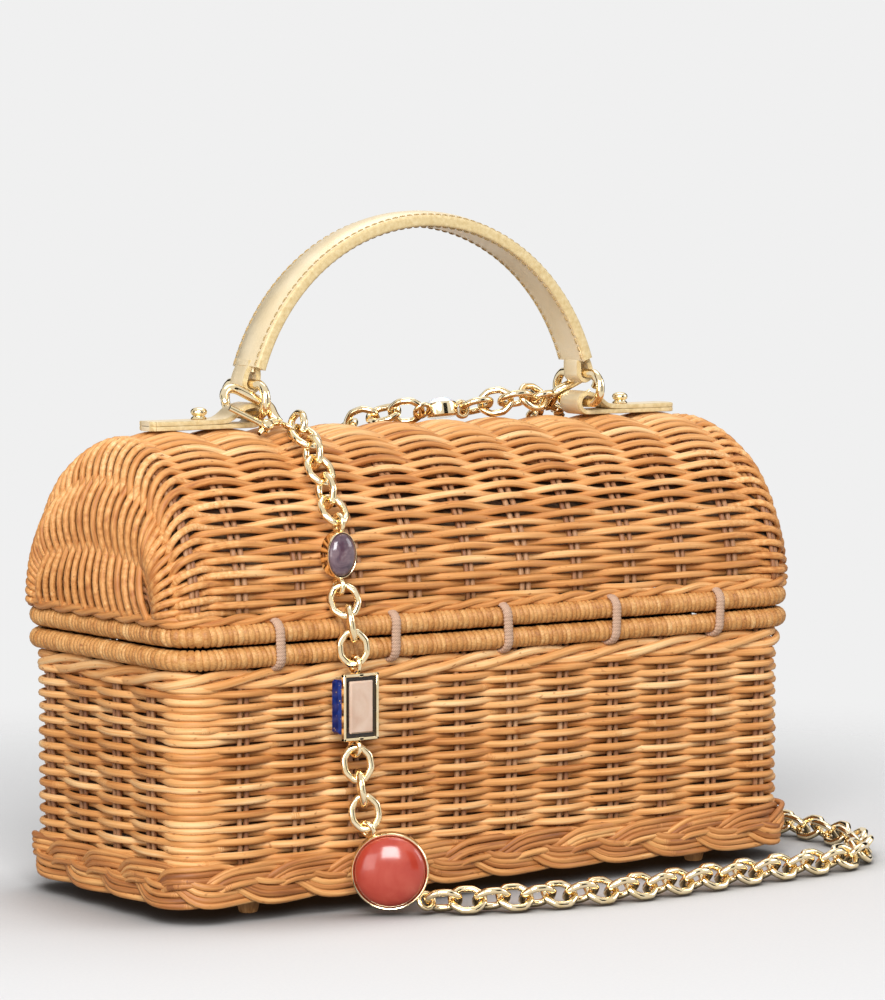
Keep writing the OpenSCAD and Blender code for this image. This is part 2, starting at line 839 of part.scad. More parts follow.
// The count of links is odd or even as the eyes at its ends ask, and a node
// may draw only a share of them
module strand(route, up, roll, odd, share = [0, 1]) {
  p = smooth_route(route, 4);
  sums = lengths(p);
  run = sums[len(sums) - 1] - 2 * link_m;
  count = 2 * round((run / link_step + 1 - odd) / 2) + odd;
  step = run / (count - 1);
  color(gold)
    for (i = [round(share[0] * count) : round(share[1] * count) - 1]) {
      s = link_m + i * step;
      at = route_point(p, sums, s);
      t = unit(route_point(p, sums, s + link_m * 0.9) - route_point(p, sums, s - link_m * 0.9));
      out = is_undef(up) ? strap_up(at) : up;
      n = unit(out - (out * t) * t);
      b = cross(t, n);
      multmatrix([
        [b[0], n[0], t[0], at[0]],
        [b[1], n[1], t[1], at[1]],
        [b[2], n[2], t[2], at[2]]
      ])
        rotate([0, 0, roll + 90 * (i % 2)]) link();
    }
}

// Where the strap hangs: the eyes of the settings, and the route's points.
// A point over the lid is given by its turn round the dome and its stand-off
function over_lid(x, turn, off) = [
  x, (half_w + off) * sin(turn), lid_z0 + (lid_rise + off) * cos(turn)
];
// Away from what the strap lies on: the ground, the front wall, then the dome
function strap_up(at) =
  let (rising = max(0, min(1, (at[2] - ground_z) / (rise_z - ground_z))))
  at[2] > lid_z0
    ? unit([0, at[1] / pow(half_w, 2), (at[2] - lid_z0) / pow(lid_rise, 2)])
    : unit([0, rising, 1 - rising]);
function clasp_end(side) =
  let (
    along = clasp_eye_u - hook_u,
    rise = along * sin(clasp_rise)
  )
  [
    side * (ring_x + along * cos(clasp_rise)),
    side * (clasp_y - rise * cos(clasp_turn)),
    clasp_z + rise * sin(clasp_turn)
  ];
function coral_eye(turn) =
  coral_at + (coral_d / 2 + setting_eye) * [
    cos(turn) * cos(coral_turn), cos(turn) * sin(coral_turn), sin(turn)
  ];
setting_eye = 2.5;
hang_gap = 0.4;
hang_y = -rim_half_w - link_w / 2 - hang_gap;
front_y = -hang_y;
ground_z = link_bend * sin(45) + link_wire / 2 + hang_gap;
rise_r = 32;
rise_z = ground_z + rise_r;
coral_turn = -35;
coral_up = 118;
coral_low = -40;
up_lean = -50;
low_lean = -38;
pale_turn = 11;
pale_eye_turn = 45;
amethyst_at = over_lid(-64.4, -71.5, 5.1);
block_at = [-62.5, hang_y - 0.4, 64.6];
coral_at = [-54.6, -64, coral_d / 2 + 1.5];
pale_at = over_lid(17, pale_turn, 3.8);
route_lid = [
  clasp_end(-1), over_lid(-58.6, -21.5, 5.4), over_lid(-60.6, -33, 5.3),
  over_lid(-62.1, -43, 5.4), over_lid(-63.3, -53, 5.6), amethyst_at + [0, 0, oval_h / 2 + setting_eye]
];
route_hinge = [
  amethyst_at - [0, 0, oval_h / 2 + setting_eye], [-64.2, hang_y, 92.5],
  [-63.2, hang_y - 0.3, 84], block_at + [0, 0, block_h / 2 + setting_eye]
];
route_wall = [
  block_at - [0, 0, block_h / 2 + setting_eye], [-61.6, -57.8, 42],
  coral_eye(coral_up)
];
rise_x = -20;
function rise_point(turn, y) = [
  rise_x + rise_r * (1 - sin(turn)), y, ground_z + rise_r * (1 - cos(turn))
];
route_strap = [
  coral_eye(coral_low), [-30, -79, ground_z], [-8, -85, ground_z],
  [18, -87.6, ground_z], [46, -87, ground_z], [75, -84.5, ground_z],
  [99, -82.5, ground_z], [117, -79.5, ground_z], [131, -70.5, ground_z],
  [142, -55, ground_z], [147, -38, ground_z], [147.5, -18, ground_z],
  [146, 6, ground_z], [142, 30, ground_z], [133, 50, ground_z],
  [118, 64, ground_z], [98, 70.5, ground_z], [70, 71.5, ground_z],
  [42, 68, ground_z], [26, 65.6, ground_z], rise_point(0, 63.6), rise_point(22.5, 62.2),
  rise_point(45, 60.8), rise_point(67.5, 59.6), rise_point(90, 58.4), [rise_x, front_y + 0.6, 48],
  [rise_x, front_y, 62], [rise_x, front_y, 80], over_lid(rise_x + 0.3, 82, 7),
  over_lid(rise_x + 1.2, 70, 5.8), over_lid(rise_x + 2.6, 58, 5.6),
  over_lid(rise_x + 5, 47, 5.6), over_lid(rise_x + 8.6, 36.5, 5.6),
  over_lid(rise_x + 13.2, 27.5, 5.4), over_lid(rise_x + 18.8, 19.8, 5),
  over_lid(rise_x + 24, 14.6, 4.4), pale_at - [pale_h / 2 + setting_eye, 0, 0]
];
floor_share = 0.69;
route_top = [
  pale_at + [pale_h / 2 + setting_eye, 0, 0], [32, 7.4, 152], [39, 2, 153.6],
  [47, 0.6, 154.2], [53, 4, 153.6], [55.6, 10, 151.2], clasp_end(1)
];
module chain_lid() { strand(route_lid, [0, -0.82, 0.57], 90, 0); }
module chain_hinge() { strand(route_hinge, [0, -1, 0], 0, 1); }
module chain_wall() { strand(route_wall, [0, -1, 0], 0, 1); }
module chain_floor() { strand(route_strap, undef, 45, 1, [0, floor_share]); }
module chain_rise() { strand(route_strap, undef, 45, 1, [floor_share, 1]); }
module chain_top() { strand(route_top, [0, 0.5, 0.85], 0, 0); }

// Stone settings: a gold wall round the stone with an eye at either end
module oval(w, h) {
  polygon([
    for (k = [0 : 35]) [w / 2 * cos(10 * k), h / 2 * sin(10 * k)]
  ]);
}
module eye_ring() {
  rotate_extrude() translate([setting_eye, 0]) circle(d = eye_wire);
}
// An oval stone with a domed face, its flat back on z = 0
module cabochon(w, h, girdle, dome) {
  turns = 24;
  rises = 4;
  points = concat(
    [for (k = [0 : turns - 1]) [w / 2 * cos(15 * k), h / 2 * sin(15 * k), 0]],
    [
      for (j = [0 : rises - 1], k = [0 : turns - 1])
        let (lift = 90 * j / rises)
        [
          w / 2 * cos(15 * k) * cos(lift), h / 2 * sin(15 * k) * cos(lift),
          girdle + dome * sin(lift)
        ]
    ],
    [[0, 0, girdle + dome]]
  );
  last = (rises + 1) * turns;
  polyhedron(points, concat(
    [[for (k = [0 : turns - 1]) k]],
    [
      for (j = [0 : rises - 1], k = [0 : turns - 1])
        let (a = j * turns + k, b = j * turns + (k + 1) % turns)
        each [[a, b + turns, b], [a, a + turns, b + turns]]
    ],
    [for (k = [0 : turns - 1]) [rises * turns + k, last, rises * turns + (k + 1) % turns]]
  ));
}
module oval_setting(w, h, low_turn = 90) {
  difference() {
    linear_extrude(setting_t) oval(w, h);
    translate([0, 0, setting_wall])
      linear_extrude(setting_t) oval(w - 2 * setting_wall, h - 2 * setting_wall);
  }
  for (s = [-1, 1])
    translate([0, s * (h / 2 + setting_eye), setting_t / 2])
      rotate([0, s < 0 ? low_turn : 90, 0]) eye_ring();
}
module oval_stone(w, h) {
  gap = setting_wall + 0.05;
  translate([0, 0, gap])
    cabochon(w - 2 * gap, h - 2 * gap, setting_t - gap - 0.4, 2.6);
}
module at_amethyst() {
  translate(amethyst_at + [0, setting_t / 2, 0]) rotate([90, 0, 0]) children();
}
module amethyst_setting() { color(gold) at_amethyst() oval_setting(oval_w, oval_h); }
module amethyst() { color([0.55, 0.46, 0.62]) at_amethyst() oval_stone(oval_w, oval_h); }
pale_tilt = atan2(lid_rise * sin(pale_turn), half_w * cos(pale_turn));
module at_pale() {
  translate(pale_at)
    rotate([-pale_tilt, 0, 0])
      rotate([0, 0, -90])
        translate([0, 0, -setting_t / 2])
          children();
}
module pale_setting() { color(gold) at_pale() oval_setting(pale_w, pale_h, pale_eye_turn); }
module pale_stone() { color([0.92, 0.93, 0.95]) at_pale() oval_stone(pale_w, pale_h); }

// Framed block: a lapis body with a gold frame on its face, and a panel that
// stands in the frame's recess
frame_t = 2.4;
frame_edge = 1.1;
panel_t = 1.6;
panel_gap = 1.5;
body_in = 0.5;
stone_gap = 0.05;
body_end = frame_edge + stone_gap;
module at_block() { translate(block_at - [0, block_d / 2, 0]) children(); }
module block_body() {
  color([0.16, 0.20, 0.62])
    at_block()
      translate([-block_w / 2 + body_in, frame_t + stone_gap, -block_h / 2 + body_end])
        cube([block_w - 2 * body_in, block_d - frame_t - stone_gap, block_h - 2 * body_end]);
}
module block_frame() {
  color(gold)
    at_block() {
      difference() {
        translate([-block_w / 2, 0, -block_h / 2]) cube([block_w, frame_t, block_h]);
        translate([-block_w / 2 + frame_edge, -1, -block_h / 2 + frame_edge])
          cube([block_w - 2 * frame_edge, panel_t + 1, block_h - 2 * frame_edge]);
      }
      for (s = [-1, 1]) {
        translate([0, block_d / 2, s * (block_h / 2 + setting_eye)])
          rotate([0, 90, 0]) eye_ring();
        translate([-eye_wire / 2, 0, s * (block_h / 2 - frame_edge / 2) - frame_edge / 2])
          cube([eye_wire, block_d / 2 + eye_wire, frame_edge]);
      }
    }
}
module block_panel() {
  inset = frame_edge + panel_gap;
  color([0.93, 0.84, 0.74])
    at_block()
      translate([-block_w / 2 + inset, 0, -block_h / 2 + inset])
        cube([block_w - 2 * inset, panel_t - stone_gap, block_h - 2 * inset]);
}

// Round coral: it stands on the ground, turned towards the near corner
module at_coral() {
  translate(coral_at) rotate([0, 0, coral_turn]) rotate([90, 0, 0]) children();
}
module coral_setting() {
  color(gold)
    at_coral() {
      translate([0, 0, -setting_t / 2])
        difference() {
          cylinder(d = coral_d, h = setting_t);
          translate([0, 0, setting_wall])
            cylinder(d = coral_d - 2 * setting_wall, h = setting_t);
        }
      for (eye = [[coral_up, up_lean], [coral_low, low_lean]])
        rotate([0, 0, eye[0]])
          translate([coral_d / 2 + setting_eye, 0, 0])
            rotate([eye[1], 0, 0]) eye_ring();
    }
}
coral_dome = 4.6;
module coral() {
  r = coral_d / 2 - setting_wall - 0.05;
  ball = (r * r + coral_dome * coral_dome) / (2 * coral_dome);
  girdle = setting_t - setting_wall - 0.45;
  color([0.86, 0.36, 0.33])
    at_coral()
      translate([0, 0, -setting_t / 2 + setting_wall + 0.05]) {
        cylinder(r = r, h = girdle);
        intersection() {
          translate([0, 0, girdle + coral_dome - ball]) sphere(r = ball);
          translate([0, 0, girdle]) cylinder(r = r + 1, h = coral_dome + 1);
        }
      }
}

// Front closure: a leather tongue riveted to the lid, with a magnetic snap
tongue_t = leather_t;
tongue_y = rim_half_w + 0.4;
snap_z = hinge_z - tongue_drop + snap_d / 2 + 2;
rivet_up = 7;
rivet_edge = 6;
tongue_cut = 5;
rivet_z = lid_rim_z + rim_d / 2 + rivet_up;
module closure_tongue() {
  top = rivet_z + rivet_edge;
  bottom = hinge_z - tongue_drop;
  color(gold_leather)
    difference() {
      translate([0, tongue_y + tongue_t, 0])
        rotate([90, 0, 0])
          linear_extrude(tongue_t)
            polygon([
              [-tongue_w / 2, bottom + tongue_cut], [-tongue_w / 2 + tongue_cut, bottom],
              [tongue_w / 2 - tongue_cut, bottom], [tongue_w / 2, bottom + tongue_cut],
              [tongue_w / 2, top], [-tongue_w / 2, top]
            ]);
      translate([0, tongue_y - 1, rivet_z])
        rotate([-90, 0, 0]) cylinder(d = stud_d / 2 + 2 * seat, h = tongue_t + 2);
    }
}
module closure_rivet() {
  color(gold)
    translate([0, half_w + 0.3, rivet_z])
      rotate([-90, 0, 0])
        rotate_extrude()
          polygon([
            [0, 0], [stud_d / 4, 0], [stud_d / 4, tongue_y + tongue_t - half_w - 0.2],
            [stud_d / 2, tongue_y + tongue_t - half_w - 0.2],
            [0.4 * stud_d, tongue_y + tongue_t - half_w + 1.4],
            [0, tongue_y + tongue_t - half_w + 1.8]
          ]);
}
module snap_upper() {
  color(gold)
    translate([0, tongue_y - snap_t - 0.05, snap_z])
      rotate([-90, 0, 0]) cylinder(d = snap_d, h = snap_t);
}
module snap_lower() {
  color(gold)
    translate([0, half_w + 0.2, snap_z])
      rotate([-90, 0, 0])
        cylinder(d = snap_d, h = tongue_y - snap_t - 0.4 - half_w - 0.2);
}

base_weave();
bottom_border();
base_floor();
base_lining();
base_rim();
foot(-1, -1);  // foot_back_left
foot(1, -1);  // foot_back_right
foot(-1, 1);  // foot_front_left
foot(1, 1);  // foot_front_right
hinge_tie(0);  // hinge_tie_1
hinge_tie(1);  // hinge_tie_2
hinge_tie(2);  // hinge_tie_3
hinge_tie(3);  // hinge_tie_4
hinge_tie(4);  // hinge_tie_5
lid_weave();
lid_rim();
lid_lining();
tab(-1);  // tab_left
tab(1);  // tab_right
stud(-1);  // stud_left
stud(1);  // stud_right
ring(-1);  // ring_left
ring(1);  // ring_right
handle_loop(-1);  // handle_loop_left
handle_loop(1);  // handle_loop_right
handle_strap();
clasp_body(-1);  // clasp_left
clasp_body(1);  // clasp_right
clasp_gate(-1);  // clasp_gate_left
clasp_gate(1);  // clasp_gate_right
clasp_eye(-1);  // clasp_eye_left
clasp_eye(1);  // clasp_eye_right
chain_lid();
amethyst_setting();
amethyst();
chain_hinge();
block_body();
block_frame();
block_panel();
chain_wall();
coral_setting();
coral();
chain_floor();
chain_rise();
pale_setting();
pale_stone();
chain_top();
closure_tongue();
closure_rivet();
snap_upper();
snap_lower();
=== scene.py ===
import math

import bpy
import numpy as np
from mathutils import Matrix, Vector


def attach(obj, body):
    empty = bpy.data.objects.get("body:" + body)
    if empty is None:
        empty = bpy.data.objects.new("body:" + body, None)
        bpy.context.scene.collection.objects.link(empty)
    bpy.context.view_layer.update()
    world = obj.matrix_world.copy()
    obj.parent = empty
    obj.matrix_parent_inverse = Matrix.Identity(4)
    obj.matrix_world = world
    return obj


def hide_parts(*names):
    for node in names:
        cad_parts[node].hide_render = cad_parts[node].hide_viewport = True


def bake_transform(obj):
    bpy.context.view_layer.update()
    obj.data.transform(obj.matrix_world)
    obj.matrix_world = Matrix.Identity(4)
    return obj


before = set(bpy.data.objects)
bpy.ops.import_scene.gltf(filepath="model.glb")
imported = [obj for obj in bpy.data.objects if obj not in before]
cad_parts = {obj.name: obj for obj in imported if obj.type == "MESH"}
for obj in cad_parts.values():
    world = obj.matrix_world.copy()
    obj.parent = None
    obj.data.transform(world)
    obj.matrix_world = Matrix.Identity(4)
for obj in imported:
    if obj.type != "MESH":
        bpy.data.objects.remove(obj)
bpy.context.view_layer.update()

# Picture. A long lens looks at the hinge side and the left end from a little above the handle, over
# a pale seamless floor. Large soft lamps light the bag, and dark flags that only shiny faces can see
# put the hard dark edges into the gold.
scene = bpy.context.scene
scene.view_settings.view_transform = "Standard"
camera_at = (-0.7981, -1.1459, 0.2270)
toward = Vector((-0.575, -0.815, 0.075)).normalized()  # from the bag to the camera
right = Vector((-toward.y, toward.x, 0)).normalized()
upward = toward.cross(right)
lens = bpy.data.cameras.new("camera")
lens.sensor_width = 24
lens.lens = 103.08
camera = bpy.data.objects.new("camera", lens)
camera.matrix_world = (Matrix.Translation(camera_at)
                       @ Matrix((right, upward, toward)).transposed().to_4x4())
scene.collection.objects.link(camera)
scene.camera = camera


def linear(colour):
    """An sRGB hex colour as linear red, green, blue and alpha."""
    srgb = np.array([int(colour[i:i + 2], 16) for i in (1, 3, 5)]) / 255
    rgb = np.where(srgb <= 0.04045, srgb / 12.92, ((srgb + 0.055) / 1.055) ** 2.4)
    return (*rgb.tolist(), 1.0)


def node(tree, kind, inputs=None, ramp=None, **settings):
    """One shader node, with its settings, its colour stops, and its inputs set or linked."""
    made = tree.nodes.new("ShaderNode" + kind)
    for name, value in settings.items():
        setattr(made, name, value)
    for name, value in (inputs or {}).items():
        if isinstance(value, bpy.types.Node):
            tree.links.new(value.outputs[0], made.inputs[name])
        elif isinstance(value, bpy.types.NodeSocket):
            tree.links.new(value, made.inputs[name])
        else:
            made.inputs[name].default_value = value
    if ramp:
        stops = made.color_ramp.elements
        while len(stops) < len(ramp):
            stops.new(0.5)
        for stop, (place, colour) in zip(stops, ramp):
            stop.position, stop.color = place, linear(colour)
    return made


paper_colour = "#f0f0f0"
world = bpy.data.worlds.new("studio")
scene.world = world
world.use_nodes = True
tree = world.node_tree
tree.nodes.clear()
rays = node(tree, "LightPath")
mirrored = node(tree, "Math", {0: rays.outputs["Is Glossy Ray"],
                               1: rays.outputs["Is Transmission Ray"]}, operation="MAXIMUM")
seen = node(tree, "Math", {0: rays.outputs["Is Camera Ray"], 1: mirrored}, operation="MAXIMUM")
sky = node(tree, "Background", {"Color": linear("#ffffff"), "Strength": 0.25})
paper = node(tree, "Background", {"Color": linear(paper_colour), "Strength": 1.0})
both = node(tree, "MixShader", {0: seen, 1: sky, 2: paper})
node(tree, "OutputWorld", {"Surface": both})

lamp_aim, flag_aim = Vector((0, 0, 0.1)), Vector((0, 0, 0.12))
for name, place, size, watts in [
    ("key_softbox", (-1.1, -1.6, 1.1), 1.1, 58),
    ("top_softbox", (0.5, 0.4, 1.8), 1.2, 9),
    ("side_softbox", (1.7, -0.9, 0.9), 0.9, 9),
    ("fill_softbox", (-1.6, -0.5, 0.3), 0.9, 7),
]:
    lamp = bpy.data.lights.new(name, "AREA")
    lamp.shape, lamp.size, lamp.energy = "SQUARE", size, watts
    box = bpy.data.objects.new(name, lamp)
    box.location = place
    box.rotation_euler = (lamp_aim - Vector(place)).to_track_quat("-Z", "Y").to_euler()
    scene.collection.objects.link(box)


def finish(name):
    """A new material with its tree and its main shader."""
    made = bpy.data.materials.new(name)
    made.use_nodes = True
    return made, made.node_tree, made.node_tree.nodes["Principled BSDF"]


def wire(tree, shader, **inputs):
    """Sets or links the main shader's sockets, named with _ for a space."""
    for name, value in inputs.items():
        socket = shader.inputs[name.replace("_", " ")]
        if isinstance(value, bpy.types.Node):
            tree.links.new(value.outputs[0], socket)
        else:
            socket.default_value = value


# Seamless paper: a pale sheet whose far edge fades into the backdrop. Near the bag an ambient
# occlusion node darkens its colour towards #3a3836: a painted contact shadow.
floor_half, fade_from, fade_to, painted_shadow_reach = 2.0, 0.2, 0.5, 0.045
paper_fibres = 900  # to a metre
floor_paper, tree, shader = finish("seamless_paper_matte")
floor_at = node(tree, "TexCoord").outputs["Object"]
floor_far = node(tree, "VectorMath", {0: floor_at}, operation="LENGTH").outputs["Value"]
floor_fade = node(tree, "MapRange", {"Value": floor_far, "From Min": fade_from, "From Max": fade_to},
                  interpolation_type="SMOOTHSTEP")
paper_grain = node(tree, "TexNoise", {"Vector": floor_at, "Scale": paper_fibres})
paper_tint = node(tree, "ValToRGB", {"Fac": paper_grain},
                  ramp=[(0.3, "#dadadb"), (0.7, "#dddddd")])
contact = node(tree, "AmbientOcclusion", {"Distance": painted_shadow_reach}, samples=12)
openness = node(tree, "MapRange", {"Value": contact.outputs["AO"],
                                   "From Min": 0.25, "From Max": 0.95})
# painted shadow: the paper's colour darkens where the occlusion closes in
painted_contact_shadow = node(tree, "Mix", {0: openness, 6: linear("#3a3836"), 7: paper_tint},
                    data_type="RGBA")
tree.links.new(painted_contact_shadow.outputs[2], shader.inputs["Base Color"])
wire(tree, shader, Roughness=0.9)
clear = node(tree, "BsdfTransparent")
sheet_end = node(tree, "MixShader", {0: floor_fade.outputs["Result"], 1: shader, 2: clear})
tree.links.new(sheet_end.outputs[0], tree.nodes["Material Output"].inputs["Surface"])
floor_mesh = bpy.data.meshes.new("seamless_paper")
floor_mesh.from_pydata([(x * floor_half, y * floor_half, 0)
                        for x, y in ((-1, -1), (1, -1), (1, 1), (-1, 1))], [], [(0, 1, 2, 3)])
floor_mesh.materials.append(floor_paper)
floor_sheet = bpy.data.objects.new("seamless_paper", floor_mesh)
floor_sheet.visible_diffuse = False
scene.collection.objects.link(floor_sheet)

# Black felt: all but lightless, with a trace of its nap.
flag_cloth, tree, shader = finish("black_flag_felt")
nap_tufts = 300  # to a metre
felt = node(tree, "TexNoise", {"Scale": nap_tufts})
felt_tint = node(tree, "ValToRGB", {"Fac": felt}, ramp=[(0.3, "#0c0b0a"), (0.7, "#171513")])
wire(tree, shader, Base_Color=felt_tint, Roughness=1.0)
for k, (place, wide, tall) in enumerate([
    ((-1.25, 0.35, 0.3), 0.5, 1.6), ((0.35, -1.7, 0.35), 0.8, 1.5), ((1.5, 0.3, 0.5), 0.9, 1.4),
    ((-0.2, 1.6, 0.6), 1.0, 1.4),
]):
    flag_mesh = bpy.data.meshes.new(f"flag_{k}")
    flag_mesh.from_pydata([(x * wide, y * tall, 0) for x, y in (
        (-0.5, -0.5), (0.5, -0.5), (0.5, 0.5), (-0.5, 0.5))], [], [(0, 1, 2, 3)])
    flag_mesh.materials.append(flag_cloth)
    flag = bpy.data.objects.new(f"flag_{k}", flag_mesh)
    flag.location = place
    flag.rotation_euler = (flag_aim - Vector(place)).to_track_quat("Z", "Y").to_euler()
    flag.visible_camera = flag.visible_diffuse = flag.visible_shadow = False
    scene.collection.objects.link(flag)


# Basket wall. Peeled rattan weavers, 2.4 mm wide and a little flattened, pass in front of one pair
# of stakes and behind the next, each row the other way round from the one below. The stakes are
# thinner rods, set in pairs, and a three-rod wale locks the last row under the rim.
half_l, half_w, corner = 120.0, 48.0, 12.0
wall_low, wall_high = 19.25, 77.25
wall_stakes = 32
wall_rows, row_pitch, last_row_z = 27, 2.06, 71.7
weaver_d, weaver_flat = 2.35, 2.0
stake_d, stake_pair = 1.7, 2.5
stake_inset, weave_swing, corner_swing = 2.8, 2.15, 0.55
dice = np.random.RandomState(7)


def skin(rings, closed=False, tone=0.5, slots=None, around=None):
    """A closed surface over rows of ring points (rows, points round, 3) in millimetres. Every
    point keeps its place round and along in millimetres, for the grain of its material."""
    rings = np.asarray(rings, float)
    rows, k = rings.shape[:2]
    i = np.arange(rows if closed else rows - 1)[:, None]
    j = np.arange(k)[None]
    ahead, beside = (i + 1) % rows, (j + 1) % k
    faces = np.stack([i * k + j, ahead * k + j, ahead * k + beside, i * k + beside], -1)
    middle = rings.mean(1)
    step = np.linalg.norm(np.roll(middle, -1, 0) - middle, axis=1)
    along = np.concatenate([[0], np.cumsum(step)])
    if around is None:
        around = np.linalg.norm(np.roll(rings[rows // 2], -1, 0) - rings[rows // 2], axis=1).sum()
    u0, u1 = j / k * around + 0 * i, (j + 1) / k * around + 0 * i
    v0, v1 = along[i] + 0 * j, along[i + 1] + 0 * j
    places = np.stack([np.stack([u0, v0], -1), np.stack([u0, v1], -1),
                       np.stack([u1, v1], -1), np.stack([u1, v0], -1)], -2)
    caps = [] if closed else [list(range(k)), list(range(rows * k - 1, (rows - 1) * k - 1, -1))]
    side_slots = np.zeros(k, int) if slots is None else np.asarray(slots)
    return {
        "points": rings.reshape(-1, 3), "faces": faces.reshape(-1, 4), "caps": caps,
        "places": places.reshape(-1, 2), "slots": np.tile(side_slots, len(i)),
        "tone": np.repeat(np.broadcast_to(tone, rows), k),
    }


def rod(line, out, wide, tall=None, sides=8, closed=False, tone=0.5, section=None, slots=None):
    """A rod bent along a line in millimetres. out points away from the rod's inner side, tall is
    its thickness that way and wide the other. section replaces the oval by points (across, out)."""
    line = np.asarray(line, float)
    out = np.broadcast_to(np.asarray(out, float), line.shape)
    if closed:
        along = np.roll(line, -1, 0) - np.roll(line, 1, 0)
    else:
        along = np.gradient(line, axis=0)
    along = along / np.linalg.norm(along, axis=1, keepdims=True)
    side = np.cross(along, out)
    side = side / np.linalg.norm(side, axis=1, keepdims=True)
    lift = np.cross(side, along)
    tall = wide if tall is None else tall
    if section is None:
        turn = 2 * np.pi * np.arange(sides) / sides - np.pi / 2
        section = 0.5 * np.stack([np.cos(turn), np.sin(turn)], 1)
    section = np.asarray(section, float)
    wide = np.broadcast_to(wide, len(line))[:, None, None]
    tall = np.broadcast_to(tall, len(line))[:, None, None]
    rings = (line[:, None] + wide * section[None, :, :1] * side[:, None]
             + tall * section[None, :, 1:] * lift[:, None])
    return skin(rings, closed, tone, slots)


def piece(name, parts, *materials, crease=None, flat=False):
    """One object out of parts: its mesh in metres, with each point's place and its strand's tone."""
    points, faces, places, slots = [], [], [], []
    first = 0
    for part in parts:
        points.append(part["points"])
        faces += (part["faces"] + first).tolist()
        faces += [[first + i for i in cap] for cap in part["caps"]]
        places.append(part["places"])
        places += [np.zeros((len(cap), 2)) for cap in part["caps"]]
        slots += part["slots"].tolist() + [part["slots"][0]] * len(part["caps"])
        first += len(part["points"])
    mesh = bpy.data.meshes.new(name)
    mesh.from_pydata((np.concatenate(points) / 1000).tolist(), [], faces)
    mesh.uv_layers.new(name="place").data.foreach_set("uv", np.concatenate(places).ravel())
    tones = mesh.attributes.new("tone", "FLOAT", "POINT")
    tones.data.foreach_set("value", np.concatenate([p["tone"] for p in parts]).astype(np.float32))
    for material in materials:
        mesh.materials.append(material)
    mesh.polygons.foreach_set("material_index", slots)
    mesh.polygons.foreach_set("use_smooth", [not flat] * len(faces))
    if crease:
        mesh.set_sharp_from_angle(angle=math.radians(crease))
    made = bpy.data.objects.new(name, mesh)
    scene.collection.objects.link(made)
    return made


def seat(made, body, slot, *nodes):
    """A piece rides on its body and stands for its CAD nodes. slot is not used."""
    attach(made, body)
    if nodes:
        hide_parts(*nodes)


def rattan(name, stops, fibre=0.6, streak=20.0):
    """Rattan core, split, peeled and dried: long fine fibres, each rod of its own shade, with
    darker sap patches and small knots, and a satin face that catches soft light. fibre and streak
    are the width and length of a fibre in millimetres."""
    patch_mm, knot_mm = (5, 24), (1.1, 2.6)
    made, tree, shader = finish(name)
    place = node(tree, "UVMap", uv_map="place")
    tone = node(tree, "Attribute", attribute_name="tone").outputs["Fac"]
    apart = node(tree, "CombineXYZ", {"Z": node(tree, "Math", {0: tone, 1: 83.0},
                                                operation="MULTIPLY")})
    layers = []
    for across, along, detail in ((fibre, streak, 4.0), patch_mm + (2.0,), knot_mm + (1.0,)):
        long_way = node(tree, "Mapping", {"Vector": place, "Scale": (1 / across, 1 / along, 1)})
        at = node(tree, "VectorMath", {0: long_way, 1: apart}, operation="ADD")
        layers.append(node(tree, "TexNoise", {"Vector": at, "Scale": 1.0, "Detail": detail}))
    grain, patch, knot = layers
    knots = node(tree, "MapRange", {"Value": knot, "From Min": 0.68, "From Max": 0.8})
    sum_a = node(tree, "Math", {0: grain, 1: 0.9, 2: -0.45}, operation="MULTIPLY_ADD")
    sum_b = node(tree, "Math", {0: patch, 1: 0.7, 2: sum_a}, operation="MULTIPLY_ADD")
    sum_c = node(tree, "Math", {0: tone, 1: 0.55, 2: sum_b}, operation="MULTIPLY_ADD")
    shade = node(tree, "MapRange", {"Value": sum_c, "From Min": 0.2, "From Max": 1.05})
    colour = node(tree, "ValToRGB", {"Fac": shade}, ramp=stops)
    sap = node(tree, "Mix", {0: knots, 6: colour, 7: linear("#9a5f2e")}, data_type="RGBA")
    tree.links.new(sap.outputs[2], shader.inputs["Base Color"])
    gloss = node(tree, "MapRange", {"Value": grain, "To Min": 0.44, "To Max": 0.7})
    relief = node(tree, "Bump", {"Height": grain, "Strength": 0.5, "Distance": 0.0002})
    wire(tree, shader, Roughness=gloss, IOR=1.5)
    tree.links.new(relief.outputs[0], shader.inputs["Normal"])
    return made


weaver_rattan = rattan("peeled_rattan_weaver", [
    (0.0, "#a5622b"), (0.35, "#c98a4b"), (0.62, "#dca264"), (0.85, "#e8bb83"), (1.0, "#f0c994"),
])
# the stakes' rattan is darker than the weavers': partly their own browner colour, partly painted shade
# for the recesses behind the weavers
stake_rattan = rattan("peeled_rattan_stake", [
    (0.0, "#74482b"), (0.4, "#92613c"), (0.75, "#aa7d56"), (1.0, "#bd9670"),
])


def outline(a, b, r, share):
    """Points and outward directions round a rectangle with round corners, at shares of its run."""
    turn = np.concatenate([np.radians(np.linspace(0, 90, 13) + 90 * q) for q in range(4)])
    out = np.stack([np.cos(turn), np.sin(turn)], 1)
    at = r * out + np.stack([(a - r) * np.repeat([1, -1, -1, 1], 13),
                             (b - r) * np.repeat([1, 1, -1, -1], 13)], 1)
    at, out = np.concatenate([at, at[:1]]), np.concatenate([out, out[:1]])
    run = np.concatenate([[0], np.cumsum(np.linalg.norm(np.diff(at, axis=0), axis=1))])
    s = np.mod(share, 1) * run[-1]
    point = np.stack([np.interp(s, run, at[:, i]) for i in (0, 1)], 1)
    way = np.stack([np.interp(s, run, out[:, i]) for i in (0, 1)], 1)
    return point, way / np.linalg.norm(way, axis=1, keepdims=True), run[-1]


def around(a, b, r, share, inset, z):
    """The outline as points in space, set in by inset, with the outward directions."""
    point, way, _ = outline(a, b, r, share)
    lift = np.broadcast_to(z, len(point))
    inset = np.broadcast_to(inset, len(point))[:, None]
    return (np.column_stack([point - inset * way, lift]),
            np.column_stack([way, np.zeros(len(way))]))


